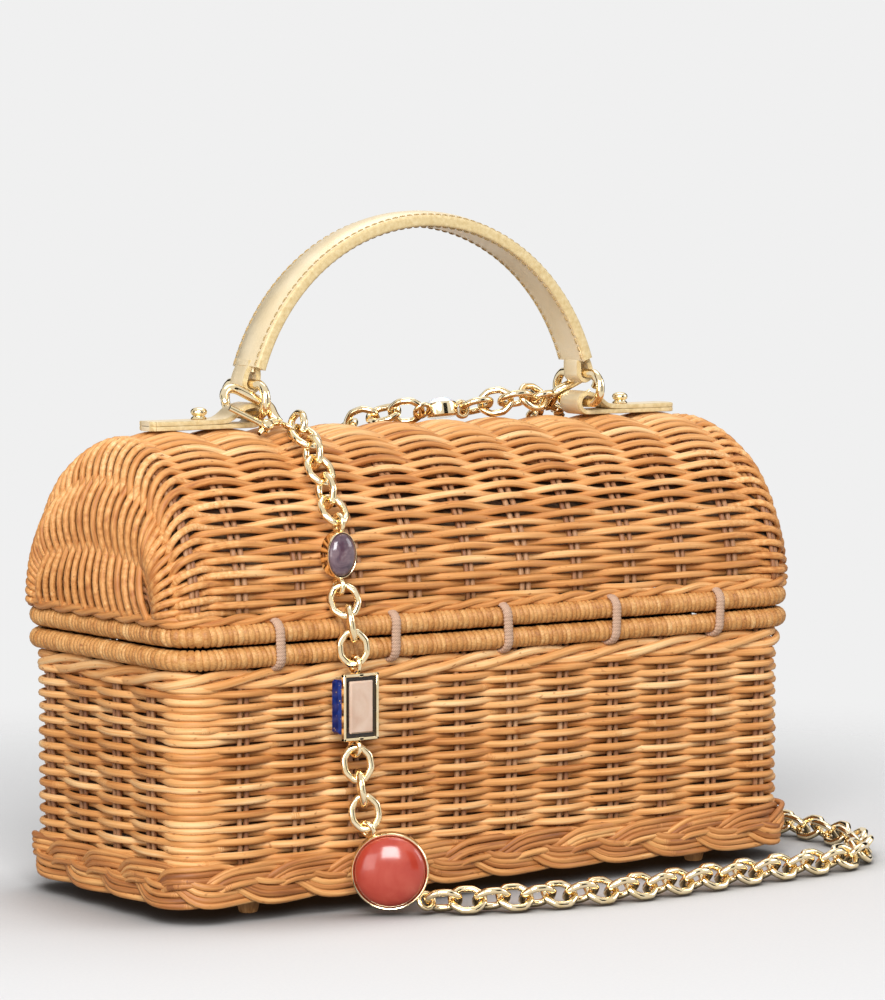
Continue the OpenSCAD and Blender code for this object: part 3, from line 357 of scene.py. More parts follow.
def drift(count, size, waves=5):
    """A slow closed wander of a hand-laid strand, count values of about +-size."""
    share = np.arange(count) / count
    return sum(dice.uniform(-1, 1) * np.sin(2 * np.pi * (n * share + dice.uniform()))
               for n in range(1, waves + 1)) * size / math.sqrt(waves)


def spliced(count, splices, low=0.1, high=0.9):
    """Tones of a strand that is pieced together from a few rods, one value a point."""
    cuts = np.sort(dice.randint(0, count, splices))
    tones = dice.uniform(low, high, splices + 1)
    return tones[np.searchsorted(cuts, np.arange(count), side="right") % len(tones)]


steps = wall_stakes * 7  # seven points from stake to stake
share = np.arange(steps) / steps
bare_corners = (0, 16)  # at two corners the weavers go round with no stakes in front
at_corner = sum(np.exp(-((wall_stakes * share - k - 0.5) / 0.5) ** 2) for k in bare_corners)
parts = []
for row in range(wall_rows):
    wave = np.cos(np.pi * (wall_stakes * share - 0.5 + row))
    wave = wave + at_corner * (corner_swing - wave)
    inset = stake_inset - weave_swing * wave + drift(steps, 0.15)
    height = last_row_z - row_pitch * (wall_rows - 1 - row) + drift(steps, 0.35, 9)
    line, out = around(half_l, half_w, corner, share, inset, height)
    thick = dice.uniform(0.94, 1.08)
    parts.append(rod(line, out, weaver_d * thick, weaver_flat * thick, closed=True,
                     tone=spliced(steps, 4)))
wale_turns, wale_z, wale_inset = 11, 74.1, 2.0
wale_rise, wale_depth, wale_d, wale_flat = 2.0, 1.15, 2.9, 2.5
for k in range(3):
    phase = 2 * np.pi * (wale_turns * share + k / 3)
    line, out = around(half_l, half_w, corner, share, wale_inset - wale_depth * np.cos(phase),
                       wale_z + wale_rise * np.sin(phase) + drift(steps, 0.2))
    parts.append(rod(line, out, wale_d, wale_flat, closed=True,
                     tone=spliced(steps, 3, 0.35, 0.95)))
basket_weavers = piece("basket_weavers", parts, weaver_rattan)
seat(basket_weavers, "base", "rattan", "base_weave")

parts = []
_, _, wall_run = outline(half_l, half_w, corner, np.zeros(1))
rise = np.linspace(wall_low - 4, wall_high + 1, 12)
for k in sorted(set(range(wall_stakes)) - set(bare_corners)):
    for s in (-0.5, 0.5):
        at = (k + 0.5 + s * stake_pair * wall_stakes / wall_run) / wall_stakes
        sway = 0.25 * np.sin(rise / 9 + dice.uniform(0, 6))
        line, out = around(half_l, half_w, corner, at + sway / wall_run, stake_inset, rise)
        parts.append(rod(line, out, stake_d * dice.uniform(0.9, 1.1), tone=dice.uniform(0.2, 0.9)))
basket_stakes = piece("basket_stakes", parts, stake_rattan)
seat(basket_stakes, "base", "rattan")

# Bottom border. The stake ends and extra rods are laid into a flat plait round the foot of the
# wall, in strands of four rods that cross in long slopes, over a hidden core rod.
border_z, border_out, border_turns = 11.5, 2.5, 10
plait_rise, plait_depth, plait_inset = 3.3, 1.2, 2.4
plait_rod, plait_flat, plait_pitch = 2.15, 0.82, 1.85
core_h, core_t, core_inset = 11.5, 4.6, 5.0
# A darker copy of the weavers' rattan: painted shade for the foot of the basket. Its rods also take
# tones from the darker end.
border_rattan_painted_shade = rattan("peeled_rattan_border_painted_shade", [
    (0.0, "#7d471f"), (0.3, "#a96a35"), (0.6, "#c98b4e"), (0.85, "#dda768"), (1.0, "#eac08a"),
])
steps = 264
share = np.arange(steps) / steps
border_size = (half_l + border_out, half_w + border_out, corner + border_out)
parts = []
for k in range(3):
    phase = 2 * np.pi * (border_turns * share + k / 3)
    for s in (-1.5, -0.5, 0.5, 1.5):
        line, out = around(*border_size, share,
                           plait_inset - plait_depth * np.sin(2 * phase) + drift(steps, 0.35, 9),
                           border_z + plait_rise * np.tanh(2 * np.sin(phase)) + s * plait_pitch
                           + drift(steps, 0.6, 14))
        thick = plait_rod * dice.uniform(0.88, 1.08)
        parts.append(rod(line, out, thick, plait_flat * thick, closed=True,
                         tone=spliced(steps, 9, 0.0, 0.8)))
line, out = around(*border_size, share, core_inset, border_z)
parts.append(rod(line, out, core_h, core_t, closed=True, tone=0.0))
border_plait = piece("border_plait", parts, border_rattan_painted_shade)
seat(border_plait, "base", "rattan", "bottom_border")

# Floor mat. Straight rods run the length of the basket and thinner weavers cross them, over one
# and under the next. The mat fills the plaited border.
mat_l, mat_w, mat_z = 113.0, 41.0, 12.0
mat_rods, mat_rod = 16, 3.4
mat_rows, mat_weaver, mat_flat, mat_swing = 27, 3.0, 1.8, 1.5
mat_pitch = 2 * mat_w / mat_rods
parts = []
reach = np.linspace(-mat_l, mat_l, 24)
for k in range(mat_rods):
    y = (k + 0.5) * mat_pitch - mat_w
    line = np.column_stack([reach, y + 0.2 * np.sin(reach / 17 + k), mat_z + 0 * reach])
    parts.append(rod(line, (0, 0, -1), mat_rod, tone=dice.uniform(0.1, 0.8)))
reach = np.linspace(-mat_w, mat_w, mat_rods * 4 + 1)
for k in range(mat_rows):
    x = (k + 0.5) * 2 * mat_l / mat_rows - mat_l
    wave = np.cos(np.pi * (reach + mat_w - mat_pitch / 2) / mat_pitch + np.pi * k)
    line = np.column_stack([x + 0 * reach, reach, mat_z + mat_swing * wave])
    parts.append(rod(line, (0, 0, -1), mat_weaver, mat_flat, sides=6, tone=dice.uniform(0.1, 0.8)))
floor_mat = piece("floor_mat", parts, weaver_rattan)
seat(floor_mat, "base", "rattan", "base_floor")

# Feet. Four short beech pegs, turned to a taper with a rounded sole and waxed, stand under the
# corners and end in the mat.
foot_x, foot_y = 88.0, 35.0


def turned(profile, place, axis=(0, 0, 1), sides=32, squeeze=(1, 1), tone=0.5, level=(1, 0, 0)):
    """A turned form: profile points (radius, height) in millimetres round an axis at place."""
    axis = np.asarray(axis, float) / np.linalg.norm(axis)
    across = np.asarray(level, float) - np.dot(level, axis) * axis
    across = across / np.linalg.norm(across)
    third = np.cross(axis, across)
    turn = -2 * np.pi * np.arange(sides) / sides
    wheel = (np.cos(turn)[:, None] * across * squeeze[0] + np.sin(turn)[:, None] * third * squeeze[1])
    rings = [np.asarray(place, float) + r * wheel + h * axis for r, h in profile]
    return skin(rings, tone=tone, around=2 * np.pi * max(r for r, _ in profile))


# Waxed beech: fine grain along the peg under a dull shine.
foot_wood, tree, shader = finish("turned_beech_waxed")
grain_w, grain_l = 1.2, 14
wood_at = node(tree, "TexCoord").outputs["Object"]
ring_way = node(tree, "Mapping", {"Vector": wood_at,
                                  "Scale": (1000 / grain_w, 1000 / grain_w, 1000 / grain_l)})
wood_grain = node(tree, "TexNoise", {"Vector": ring_way, "Scale": 1.0, "Detail": 4.0})
wood_tint = node(tree, "ValToRGB", {"Fac": wood_grain},
                 ramp=[(0.25, "#8a5a2c"), (0.5, "#b17c46"), (0.8, "#c9975e")])
wood_gloss = node(tree, "MapRange", {"Value": wood_grain, "To Min": 0.35, "To Max": 0.55})
wire(tree, shader, Base_Color=wood_tint, Roughness=wood_gloss)
parts = [
    turned([(0.2, 0), (2.2, 0), (2.75, 0.2), (3.0, 0.7), (3.9, 4.5), (4.7, 7.6), (4.95, 8.6),
            (4.95, 9.2), (0.2, 9.2)], (sx * foot_x, sy * foot_y, 0))
    for sx in (-1, 1) for sy in (-1, 1)
]
feet = piece("feet", parts, foot_wood, crease=50)
seat(feet, "base", "turned_wood", "foot_back_left", "foot_back_right", "foot_front_left",
     "foot_front_right")

# Basket lining. Plain cotton, cut as a tray and sewn in under the rim. It hangs in slight folds
# and ends in a turned hem.
# Brown cotton: crossed threads with thicker slubs among them, and no shine. Its dark brown is partly
# painted shade, which darkens the gaps in the weave in front of it.
cloth, tree, shader = finish("plain_weave_cotton")
thread_scale = 1250 / 6.2832  # threads 1.6 mm apart, coarser than real ones, so that they show
slubs = 140  # to a metre
cloth_at = node(tree, "TexCoord").outputs["Object"]
warp = node(tree, "TexWave", {"Vector": cloth_at, "Scale": thread_scale,
                              "Distortion": 0.6}, bands_direction="DIAGONAL")
weft = node(tree, "TexWave", {"Vector": cloth_at, "Scale": thread_scale,
                              "Distortion": 0.6}, bands_direction="Z")
threads = node(tree, "Math", {0: warp, 1: weft}, operation="MULTIPLY")
slub = node(tree, "TexNoise", {"Vector": cloth_at, "Scale": slubs, "Detail": 3.0})
cloth_shade = node(tree, "Math", {0: threads, 1: 0.4, 2: slub}, operation="MULTIPLY_ADD")
cloth_tint = node(tree, "ValToRGB", {"Fac": cloth_shade},
                  ramp=[(0.3, "#44301c"), (0.6, "#5b432b"), (1.0, "#75593c")])
cloth_relief = node(tree, "Bump", {"Height": threads, "Strength": 0.4, "Distance": 0.0003})
wire(tree, shader, Base_Color=cloth_tint, Roughness=0.9, Sheen_Weight=0.25, Normal=cloth_relief)

lining_l, lining_w, lining_corner = 114.2, 42.2, 5.6
lining_low, lining_t, hem_z = 20.2, 0.9, 77.0
middle_z, upper_z, tray_inset = 46, 70, 18
steps = 160
share = np.arange(steps) / steps
folds = 0.35 * np.sin(2 * np.pi * 46 * share) + drift(steps, 0.3, 12)
rings = []
for inset, z, slack in [
    (tray_inset, lining_low, 0), (2.5, lining_low, 0), (0.6, lining_low + 0.6, 0.2),
    (0.3, lining_low + 6, 1), (0.4, middle_z, 1), (0.2, upper_z, 0.6), (0.0, hem_z - 0.8, 0.1),
    (0.3, hem_z, 0), (1.2, hem_z, 0), (1.5, hem_z - 0.8, 0.1), (1.4, hem_z - 1.6, 0.1),
    (1.1, upper_z, 0.6), (1.3, middle_z, 1), (1.2, lining_low + 6.5, 1),
    (2.2, lining_low + 1.6, 0.2), (3.8, lining_low + lining_t, 0),
    (tray_inset, lining_low + lining_t, 0),
]:
    line, _ = around(lining_l, lining_w, lining_corner, share, inset + slack * (folds + 0.4), z)
    rings.append(line[::-1])
basket_lining = piece("basket_lining", [skin(rings)], cloth)
seat(basket_lining, "base", "cloth", "base_lining")

# Rims. Two rattan hoops, each bound closely with split cane about 2 mm wide. Every turn of the
# cane has its own shade and stands a little proud in its middle.
rim_l, rim_w, rim_corner = 119.1, 47.1, 11.1
rim_z, lid_rim_z, rim_r = 80.8, 88.0, 3.3
cane_w, cane_groove, cane_lean = (1.45, 2.35), 0.45, 0.45
cane = rattan("split_cane_binding", [
    (0.0, "#86511f"), (0.3, "#b3783c"), (0.6, "#cb9557"), (0.85, "#dcb077"), (1.0, "#e7c590"),
], fibre=0.5, streak=0.6)


def bound_hoop(z):
    """A hoop under its cane: four rings of points for each turn of the binding."""
    _, _, run = outline(rim_l, rim_w, rim_corner, np.zeros(1))
    widths = dice.uniform(*cane_w, int(run / 1.9))
    ends = np.cumsum(widths) / widths.sum()
    starts = np.concatenate([[0], ends[:-1]])
    parts_of_turn = np.array([0.03, 0.25, 0.75, 0.97])
    share = (starts[:, None] + parts_of_turn * (ends - starts)[:, None]).ravel()
    radius = np.tile([-cane_groove, 0.0, 0.0, -cane_groove], len(widths)) + np.repeat(
        dice.uniform(-0.12, 0.08, len(widths)), 4)
    tone = np.repeat(np.clip(dice.normal(0.42, 0.13, len(widths)), 0, 1), 4)
    line, out = around(rim_l, rim_w, rim_corner, share, 0, z)
    along = np.cross(np.array([0, 0, 1.0]), out)
    turn = 2 * np.pi * np.arange(16) / 16 - np.pi / 2
    r = (rim_r - 0.05 + radius)[:, None, None]
    lean = cane_lean * np.cos(turn + 0.6)[None, :, None] * along[:, None]
    rings = (line[:, None] + lean + r * np.sin(turn)[None, :, None] * out[:, None]
             - r * np.cos(turn)[None, :, None] * np.array([0, 0, 1.0]))
    return skin(rings[:, ::-1], closed=True, tone=tone)


basket_rim = piece("basket_rim", [bound_hoop(rim_z)], cane, crease=60)
seat(basket_rim, "base", "cane_wrap", "base_rim")
lid_rim = piece("lid_rim_bound", [bound_hoop(lid_rim_z)], cane, crease=60)
seat(lid_rim, "lid", "cane_wrap", "lid_rim")

# Hinge ties. A soft cord, bound closely with thread, goes over both rims at five places.
# Close-laid thread: matt pinkish turns with the twist of the thread across them.
tie_cord, tree, shader = finish("thread_bound_cord")
twist_scale, twist_lean = 0.8, 0.6  # threads 0.4 mm apart
cord_at = node(tree, "UVMap", uv_map="place")
cord_way = node(tree, "Mapping", {"Vector": cord_at, "Rotation": (0, 0, twist_lean)})
twist = node(tree, "TexWave", {"Vector": cord_way, "Scale": twist_scale, "Distortion": 1.0,
                               "Detail": 2.0})
cord_tint = node(tree, "ValToRGB", {"Fac": twist},
                 ramp=[(0.0, "#a57f66"), (0.5, "#c39d82"), (1.0, "#d3b39b")])
cord_relief = node(tree, "Bump", {"Height": twist, "Strength": 0.5, "Distance": 0.0003})
wire(tree, shader, Base_Color=cord_tint, Roughness=0.8, Normal=cord_relief)
tie_count, tie_pitch, tie_foot = 5, 43.0, 118
tie_r, tie_w, tie_t, tie_wrap = rim_r + 0.6, 3.5, 1.7, 1.15
turn = np.radians(np.linspace(-tie_foot, 0, 20))
bow = np.concatenate([
    np.column_stack([-rim_w - tie_r * np.cos(turn), rim_z + tie_r * np.sin(turn)]),
    np.column_stack([-rim_w - tie_r * np.cos(turn), lid_rim_z - tie_r * np.sin(turn)])[::-1],
])
bow_run = np.concatenate([[0], np.cumsum(np.linalg.norm(np.diff(bow, axis=0), axis=1))])
s = np.linspace(0, bow_run[-1], 121)
bow = np.column_stack([np.interp(s, bow_run, bow[:, i]) for i in (0, 1)])
out = np.column_stack([0 * s, bow[:, 0] + rim_w, bow[:, 1] - np.clip(bow[:, 1], rim_z, lid_rim_z)])
bound = 0.84 + 0.16 * np.abs(np.sin(np.pi * s / tie_wrap))
parts = []
for k in range(tie_count):
    x = (k - (tie_count - 1) / 2) * tie_pitch + 0.3 * np.sin(s / 6 + dice.uniform(0, 6))
    parts.append(rod(np.column_stack([x, bow]), out, tie_w * bound, tie_t * bound, sides=10,
                     tone=dice.uniform()))
hinge_ties = piece("hinge_ties", parts, tie_cord)
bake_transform(hinge_ties)
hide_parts(*[f"hinge_tie_{k + 1}" for k in range(tie_count)])

# Lid. The weavers run the length of the dome, over one arched pair of stakes and under the next.
# The upper ones fan out down both ends, the lower ones are tucked in at the corners, and a
# twisted pair closes the foot.
lid_low, lid_rise, lid_half = 91.55, 56.2, 124.0
end_l, end_h = 16.0, 35.0
lid_rows, row_limit = 72, 88.0
fan_turn, fan_reach = 36.0, 0.97
lid_stakes = 16
end_painted_shade, painted_shade_run = 0.7, 60
drop = (lid_rise - end_h) / lid_rise
bend = np.radians(np.linspace(0, 90, 40))
half_path = np.concatenate([
    np.column_stack([np.full(10, lid_half), np.linspace(0, drop, 11)[:10]]),
    np.column_stack([lid_half - end_l + end_l * np.cos(bend), drop + (1 - drop) * np.sin(bend)]),
])
ridge = np.concatenate([half_path * [-1, 1], half_path[::-1]])
ridge_run = np.concatenate([[0], np.cumsum(np.linalg.norm(
    np.diff(ridge * [1, lid_rise], axis=0), axis=1))])


def dome(s, turn, inset):
    """Points of the dome at distance s along the ridge line and turn degrees round it, set in by
    inset, and the directions out of the dome."""
    x = np.interp(s, ridge_run, ridge[:, 0])
    tall = np.interp(s, ridge_run, ridge[:, 1])
    landing = np.sign(turn) * np.interp(np.abs(turn), [0, fan_turn, row_limit], [0, fan_reach, 1])
    turn = np.radians(turn)
    past = np.clip(np.abs(x) - (lid_half - corner), 0, corner)
    half = half_w - corner + np.sqrt(corner ** 2 - past ** 2)
    at = np.stack(np.broadcast_arrays(
        x, half * (tall * np.sin(turn) + (1 - tall) * landing),
        lid_low + lid_rise * tall * np.cos(turn)), -1)
    way = np.stack([(at[..., 0] - np.clip(at[..., 0], end_l - lid_half, lid_half - end_l)) / end_l ** 2,
                    at[..., 1] / half_w ** 2, (at[..., 2] - lid_low) / lid_rise ** 2], -1)
    way = way / np.maximum(np.linalg.norm(way, axis=-1, keepdims=True), 1e-9)
    return at - np.asarray(inset)[..., None] * way, way


stake_step = ridge_run[-1] / lid_stakes
tuck_at, tuck_run, tuck_depth = lid_rise * drop - 6, 9.0, 2.0
steps = lid_stakes * 8 + 1
s = np.linspace(0, ridge_run[-1], steps)
parts = []
for row in range(lid_rows):
    turn = row_limit * ((2 * row + 1) / lid_rows - 1)
    wave = np.cos(np.pi * s / stake_step - np.pi / 2 + np.pi * row)
    sway = drift(steps, 0.45, 12) * np.sin(np.pi * s / ridge_run[-1])
    to_end = np.minimum(s, ridge_run[-1] - s) - (0 if abs(turn) < fan_turn else tuck_at)
    tuck = tuck_depth * np.clip(1 - to_end / tuck_run, 0, 1) ** 2 * (abs(turn) > fan_turn)
    line, out = dome(s, turn + sway, stake_inset - weave_swing * wave + tuck)
    thick = dice.uniform(0.94, 1.08)
    shown = to_end >= 0
    # painted shade: each weaver's tone darkens by up to 70 % over its last 60 mm towards the lid's ends
    tone = spliced(steps, 1) * (1 - end_painted_shade * np.clip(1 - to_end / painted_shade_run, 0, 1))
    parts.append(rod(line[shown], out[shown], weaver_d * thick, weaver_flat * thick,
                     tone=tone[shown]))
foot_turns, foot_d, foot_inset, foot_depth, foot_rise = 26, 2.3, 1.2, 0.7, 0.9
steps = 224
share = np.arange(steps) / steps
for k in range(2):
    phase = 2 * np.pi * (foot_turns * share + k / 2)
    line, out = around(lid_half - foot_inset, half_w, corner, share,
                       foot_inset - foot_depth * np.cos(phase),
                       lid_low + foot_rise + foot_rise * np.sin(phase))
    parts.append(rod(line, out, foot_d, closed=True, tone=spliced(steps, 4)))
lid_weavers = piece("lid_weavers", parts, weaver_rattan)
seat(lid_weavers, "lid", "rattan", "lid_weave")

parts = []
turn = np.linspace(-row_limit, row_limit, 56)
for k in range(lid_stakes):
    for side in (-0.5, 0.5):
        sway = 0.3 * np.sin(turn / 19 + dice.uniform(0, 6))
        line, out = dome((k + 0.5) * stake_step + side * stake_pair + sway, turn,
                         stake_inset + 0 * turn)
        parts.append(rod(line, out, stake_d * dice.uniform(0.9, 1.1), tone=dice.uniform(0.2, 0.9)))
lid_arches = piece("lid_stakes", parts, stake_rattan)
seat(lid_arches, "lid", "rattan")

# Lid lining. The same cotton, gathered a little over the inside of the dome and sewn in above the
# rim, clear of the stakes.
lining_inset, lining_edge = 5.9, lid_low + 0.6
grid_s, grid_turn = np.meshgrid(np.linspace(0.5, ridge_run[-1] - 0.5, 90), np.linspace(-87, 87, 48))
gather = 0.25 * np.sin(grid_s / 3.1) + 0.2 * np.sin(grid_turn / 4.3 + grid_s / 17)
outer, _ = dome(grid_s, grid_turn, lining_inset + gather)
inner, _ = dome(grid_s, grid_turn, lining_inset + lining_t + gather)
for face in (outer, inner):
    face[..., 2] = np.maximum(face[..., 2], lining_edge)
rings = np.concatenate([outer, inner[:, ::-1]], 1)
lid_lining = piece("lid_lining_cloth", [skin(rings)], cloth)
seat(lid_lining, "lid", "cloth", "lid_lining")

# Leather tabs. Each is one strip of foiled leather, folded round the lower bar of a ring, glued
# back on itself and riveted through the lid. The cut edges are painted.
ring_x, ring_mid, ring_bend = 66.0, 156.925, 5.0
bar_low, bar_high = ring_mid - ring_bend, ring_mid + ring_bend
tab_z, tab_l, tab_w, tab_round, leather_t = 148.0, 37.0, 11.0, 3.2, 1.6
tab_tail = ring_x + tab_l
# Foiled calf: clouded pale gold with half a metal's sheen, cracked finely along the pores.
foil_leather, tree, shader = finish("gold_foiled_calf_leather")
pore_mm, pebble_mm, cloud_mm = 0.8, 2.2, 14
leather_at = node(tree, "TexCoord").outputs["Object"]
pores = node(tree, "TexVoronoi", {"Vector": leather_at, "Scale": 1000 / pore_mm},
             feature="DISTANCE_TO_EDGE")
pebbles = node(tree, "TexNoise", {"Vector": leather_at, "Scale": 1000 / pebble_mm, "Detail": 5.0})
clouds = node(tree, "TexNoise", {"Vector": leather_at, "Scale": 1000 / cloud_mm, "Detail": 2.0})
foil_tint = node(tree, "ValToRGB", {"Fac": clouds},
                 ramp=[(0.25, "#dec79c"), (0.5, "#e8d4ae"), (0.8, "#f0e0c1")])
foil_gloss = node(tree, "MapRange", {"Value": pebbles, "To Min": 0.3, "To Max": 0.5})
crackle = node(tree, "Math", {0: pores, 1: 0.6, 2: pebbles}, operation="MULTIPLY_ADD")
foil_relief = node(tree, "Bump", {"Height": crackle, "Strength": 0.22, "Distance": 0.0003})
wire(tree, shader, Base_Color=foil_tint, Roughness=foil_gloss, Metallic=0.45, Normal=foil_relief)
# Edge paint: a darker satin line along every cut, with faint brush marks.
edge_paint, tree, shader = finish("painted_leather_edge")
brush_mm = 1.5
edge_at = node(tree, "TexCoord").outputs["Object"]
brushed = node(tree, "TexNoise", {"Vector": edge_at, "Scale": 1000 / brush_mm, "Detail": 3.0})
edge_tint = node(tree, "ValToRGB", {"Fac": brushed},
                 ramp=[(0.3, "#c4ab78"), (0.55, "#d3bd8d"), (0.8, "#dfcda2")])
edge_gloss = node(tree, "MapRange", {"Value": brushed, "To Min": 0.4, "To Max": 0.55})
wire(tree, shader, Base_Color=edge_tint, Roughness=edge_gloss)
# a strip's section as (across, out), once round from its inner side; 1 marks the painted edges
strip_section = [(-0.42, -0.5), (0.42, -0.5), (0.49, -0.38), (0.5, 0.0), (0.49, 0.38), (0.42, 0.5),
                 (0.2, 0.52), (-0.2, 0.52), (-0.42, 0.5), (-0.49, 0.38), (-0.5, 0.0), (-0.49, -0.38)]
strip_slots = [0, 1, 1, 1, 1, 0, 0, 0, 1, 1, 1, 1]


def eased(points, cuts=6, held=False):
    """A smooth line through a few points. It runs out straight at its ends, or is held there."""
    p = np.asarray(points, float)
    ends = (p[:1], p[-1:]) if held else (2 * p[:1] - p[1:2], 2 * p[-1:] - p[-2:-1])
    p = np.concatenate([ends[0], p, ends[1]])
    t = np.arange(cuts)[:, None] / cuts
    spans = [0.5 * (2 * b + (c - a) * t + (2 * a - 5 * b + 4 * c - d) * t ** 2
                    + (3 * b - a - 3 * c + d) * t ** 3)
             for a, b, c, d in zip(p[:-3], p[1:-2], p[2:-1], p[3:])]
    return np.concatenate(spans + [p[-2:-1]])


def strip(points, side, width, tail=0.0):
    """A leather strip along points (x, z), mirrored to a side. Its ends narrow over tail."""
    flat = eased(points)
    line = np.column_stack([side * flat[:, 0], 0 * flat[:, 0], flat[:, 1]])
    along = np.gradient(flat, axis=0)
    out = np.column_stack([-side * along[:, 1], 0 * flat[:, 0], along[:, 0]])
    run = np.concatenate([[0], np.cumsum(np.linalg.norm(np.diff(flat, axis=0), axis=1))])
    wide = np.full(len(run), float(width))
    if tail:
        near = np.minimum(run, run[-1] - run) / tail
        wide = width * np.where(near < 1, 0.45 + 0.55 * np.sqrt(1 - (1 - np.minimum(near, 1)) ** 2), 1)
    return rod(line, out, wide, leather_t, section=strip_section, slots=strip_slots)


fold = bar_low - tab_z - leather_t / 2
lower_ply, upper_ply = tab_z + 0.5 * leather_t, tab_z + 1.4 * leather_t
tab_points = [(x, lower_ply) for x in (tab_tail, tab_tail - 1.2, tab_tail - 3, ring_x + 14, ring_x + 3)]
tab_points += [(ring_x + fold * math.cos(a), bar_low + fold * math.sin(a))
               for a in np.radians([262, 232, 202, 172, 142, 112, 85])]
tab_points += [(ring_x + 4.2, bar_low + fold - 1.1), (ring_x + 8.6, tab_z + 1.9 * leather_t),
               (ring_x + 14, tab_z + 1.42 * leather_t)]
tab_points += [(x, upper_ply) for x in (tab_tail - 3, tab_tail - 1.2, tab_tail)]
for side, end in ((-1, "left"), (1, "right")):
    tab = piece(f"tab_{end}_leather", [strip(tab_points, side, tab_w, tab_round)], foil_leather,
                edge_paint, crease=50)
    seat(tab, "lid", "gold_leather", f"tab_{end}")

# Studs and rings. Brass with a light gold plating, polished: the studs are turned domes with a
# waist, the rings bent from 3 mm wire and soldered.
# Light gold plating: a pale, warm mirror with the faint waves of hand polishing.
gold, tree, shader = finish("light_gold_plating_polished")
polish_mm = 2.5
gold_at = node(tree, "TexCoord").outputs["Object"]
polish = node(tree, "TexNoise", {"Vector": gold_at, "Scale": 1000 / polish_mm, "Detail": 3.0})
gold_tint = node(tree, "ValToRGB", {"Fac": polish}, ramp=[(0.3, "#efd7a6"), (0.7, "#f6e4c0")])
gold_gloss = node(tree, "MapRange", {"Value": polish, "To Min": 0.06, "To Max": 0.14})
gold_relief = node(tree, "Bump", {"Height": polish, "Strength": 0.04, "Distance": 0.0003})
wire(tree, shader, Base_Color=gold_tint, Metallic=1.0, Roughness=gold_gloss, Normal=gold_relief)
stud_x = ring_x + 0.47 * tab_l
stud_z = tab_z + 1.9 * leather_t
ring_flat, ring_wire, ring_ease = 7.0, 3.0, 2.2  # ring_ease: how soon the bars turn into the bends
for side, end in ((-1, "left"), (1, "right")):
    stud = piece(f"stud_{end}_turned", [turned(
        [(0.1, 0), (2.4, 0), (2.6, 0.2), (2.4, 0.6), (1.9, 0.9), (1.9, 1.2), (2.4, 1.5), (2.65, 2.1),
         (2.6, 2.7), (2.2, 3.25), (1.5, 3.6), (0.7, 3.75), (0.1, 3.78)],
        (side * stud_x, 0, stud_z + 0.05))],
        gold, crease=60)
    seat(stud, "lid", "light_gold", f"stud_{end}")
    turn = np.linspace(0, 2 * np.pi, 72, endpoint=False)
    oval = np.column_stack([side * ring_x + 0 * turn,
                            ring_flat * np.clip(ring_ease * np.cos(turn), -1, 1)
                            + ring_bend * np.cos(turn),
                            ring_mid + ring_bend * np.sin(turn)])
    bar = np.abs(np.cos(turn)) < 1 / ring_ease
    rise = np.sin(turn[bar])
    oval[bar, 2] = ring_mid + np.sign(rise) * ring_bend * np.abs(rise) ** 0.3
    ring = piece(f"ring_{end}_wire", [rod(oval, (side, 0, 0), ring_wire, sides=14, closed=True)], gold)
    seat(ring, "handle", "light_gold", f"ring_{end}")

# Handle. Two strips of the foiled leather over a padded core make the strap, with painted edges
# and a row of stitches along each edge, above and below. A folded loop at either end holds a ring.
loop_top, handle_top = 166.8, 216.15
strap_half, strap_low = 2.5, loop_top + 0.1
arc_half = ring_x - 0.8
arc_rise = handle_top - strap_half - strap_low
strap_arc = (arc_half ** 2 + arc_rise ** 2) / (2 * arc_rise)
strap_z = handle_top - strap_half - strap_arc
strap_from = math.atan2(strap_low - strap_z, arc_half)
strap_section = [(-4, -2.5), (0, -2.5), (4, -2.5), (6.9, -2.5), (7.4, -2.2), (7.5, -1.6), (7.5, 0.3),
                 (7.4, 0.9), (6.9, 1.2), (5.9, 1.3), (5.2, 1.5), (4.2, 2.0), (2.4, 2.4), (0, 2.55),
                 (-2.4, 2.4), (-4.2, 2.0), (-5.2, 1.5), (-5.9, 1.3), (-6.9, 1.2), (-7.4, 0.9),
                 (-7.5, 0.3), (-7.5, -1.6), (-7.4, -2.2), (-6.9, -2.5)]
strap_slots = [0, 0, 0, 1, 1, 1, 1, 1, 0, 0, 0, 0, 0, 0, 0, 0, 0, 0, 1, 1, 1, 1, 1, 0]


def on_strap(turn, across, lift):
    """A point of the strap at an angle of its arc, across it and out of its middle."""
    r = strap_arc + lift
    return (r * math.cos(turn), across, strap_z + r * math.sin(turn))


turns = np.linspace(strap_from, math.pi - strap_from, 90)
line = np.array([on_strap(a, 0, 0) for a in turns])
out = np.column_stack([np.cos(turns), 0 * turns, np.sin(turns)])
strap = piece("handle_strap_leather", [rod(line, out, 1.0, 1.0, section=strap_section,
                                           slots=strap_slots)], foil_leather, edge_paint, crease=50)
seat(strap, "handle", "gold_leather", "handle_strap")

loop_w, loop_gap, plug_t = 8.2, 0.25, 3.0
loop_r = ring_wire / 2 + loop_gap + leather_t / 2
loop_points = [(ring_x + 0.2, loop_top + 2.5), (ring_x + 0.5, loop_top + 0.6),
               (ring_x + 1.6, loop_top - 1.6)]
loop_points += [(ring_x + loop_r * math.cos(a), bar_high + loop_r * math.sin(a))
                for a in np.radians([10, -25, -60, -95, -130, -165, -190])]
loop_points += [(ring_x - 2.6, loop_top - 1.6), (ring_x - 2.1, loop_top + 0.6),
                (ring_x - 1.8, loop_top + 2.5)]
for side, end in ((-1, "left"), (1, "right")):
    plug = rod([(side * (ring_x - 0.6), 0, loop_top - 1.2), (side * (ring_x - 0.7), 0, loop_top + 2)],
               (1, 0, 0), loop_w - 0.4, plug_t, sides=12)
    loop = piece(f"loop_{end}_leather", [strip(loop_points, side, loop_w), plug], foil_leather,
                 edge_paint, crease=50)
    seat(loop, "handle", "gold_leather", f"handle_loop_{end}")

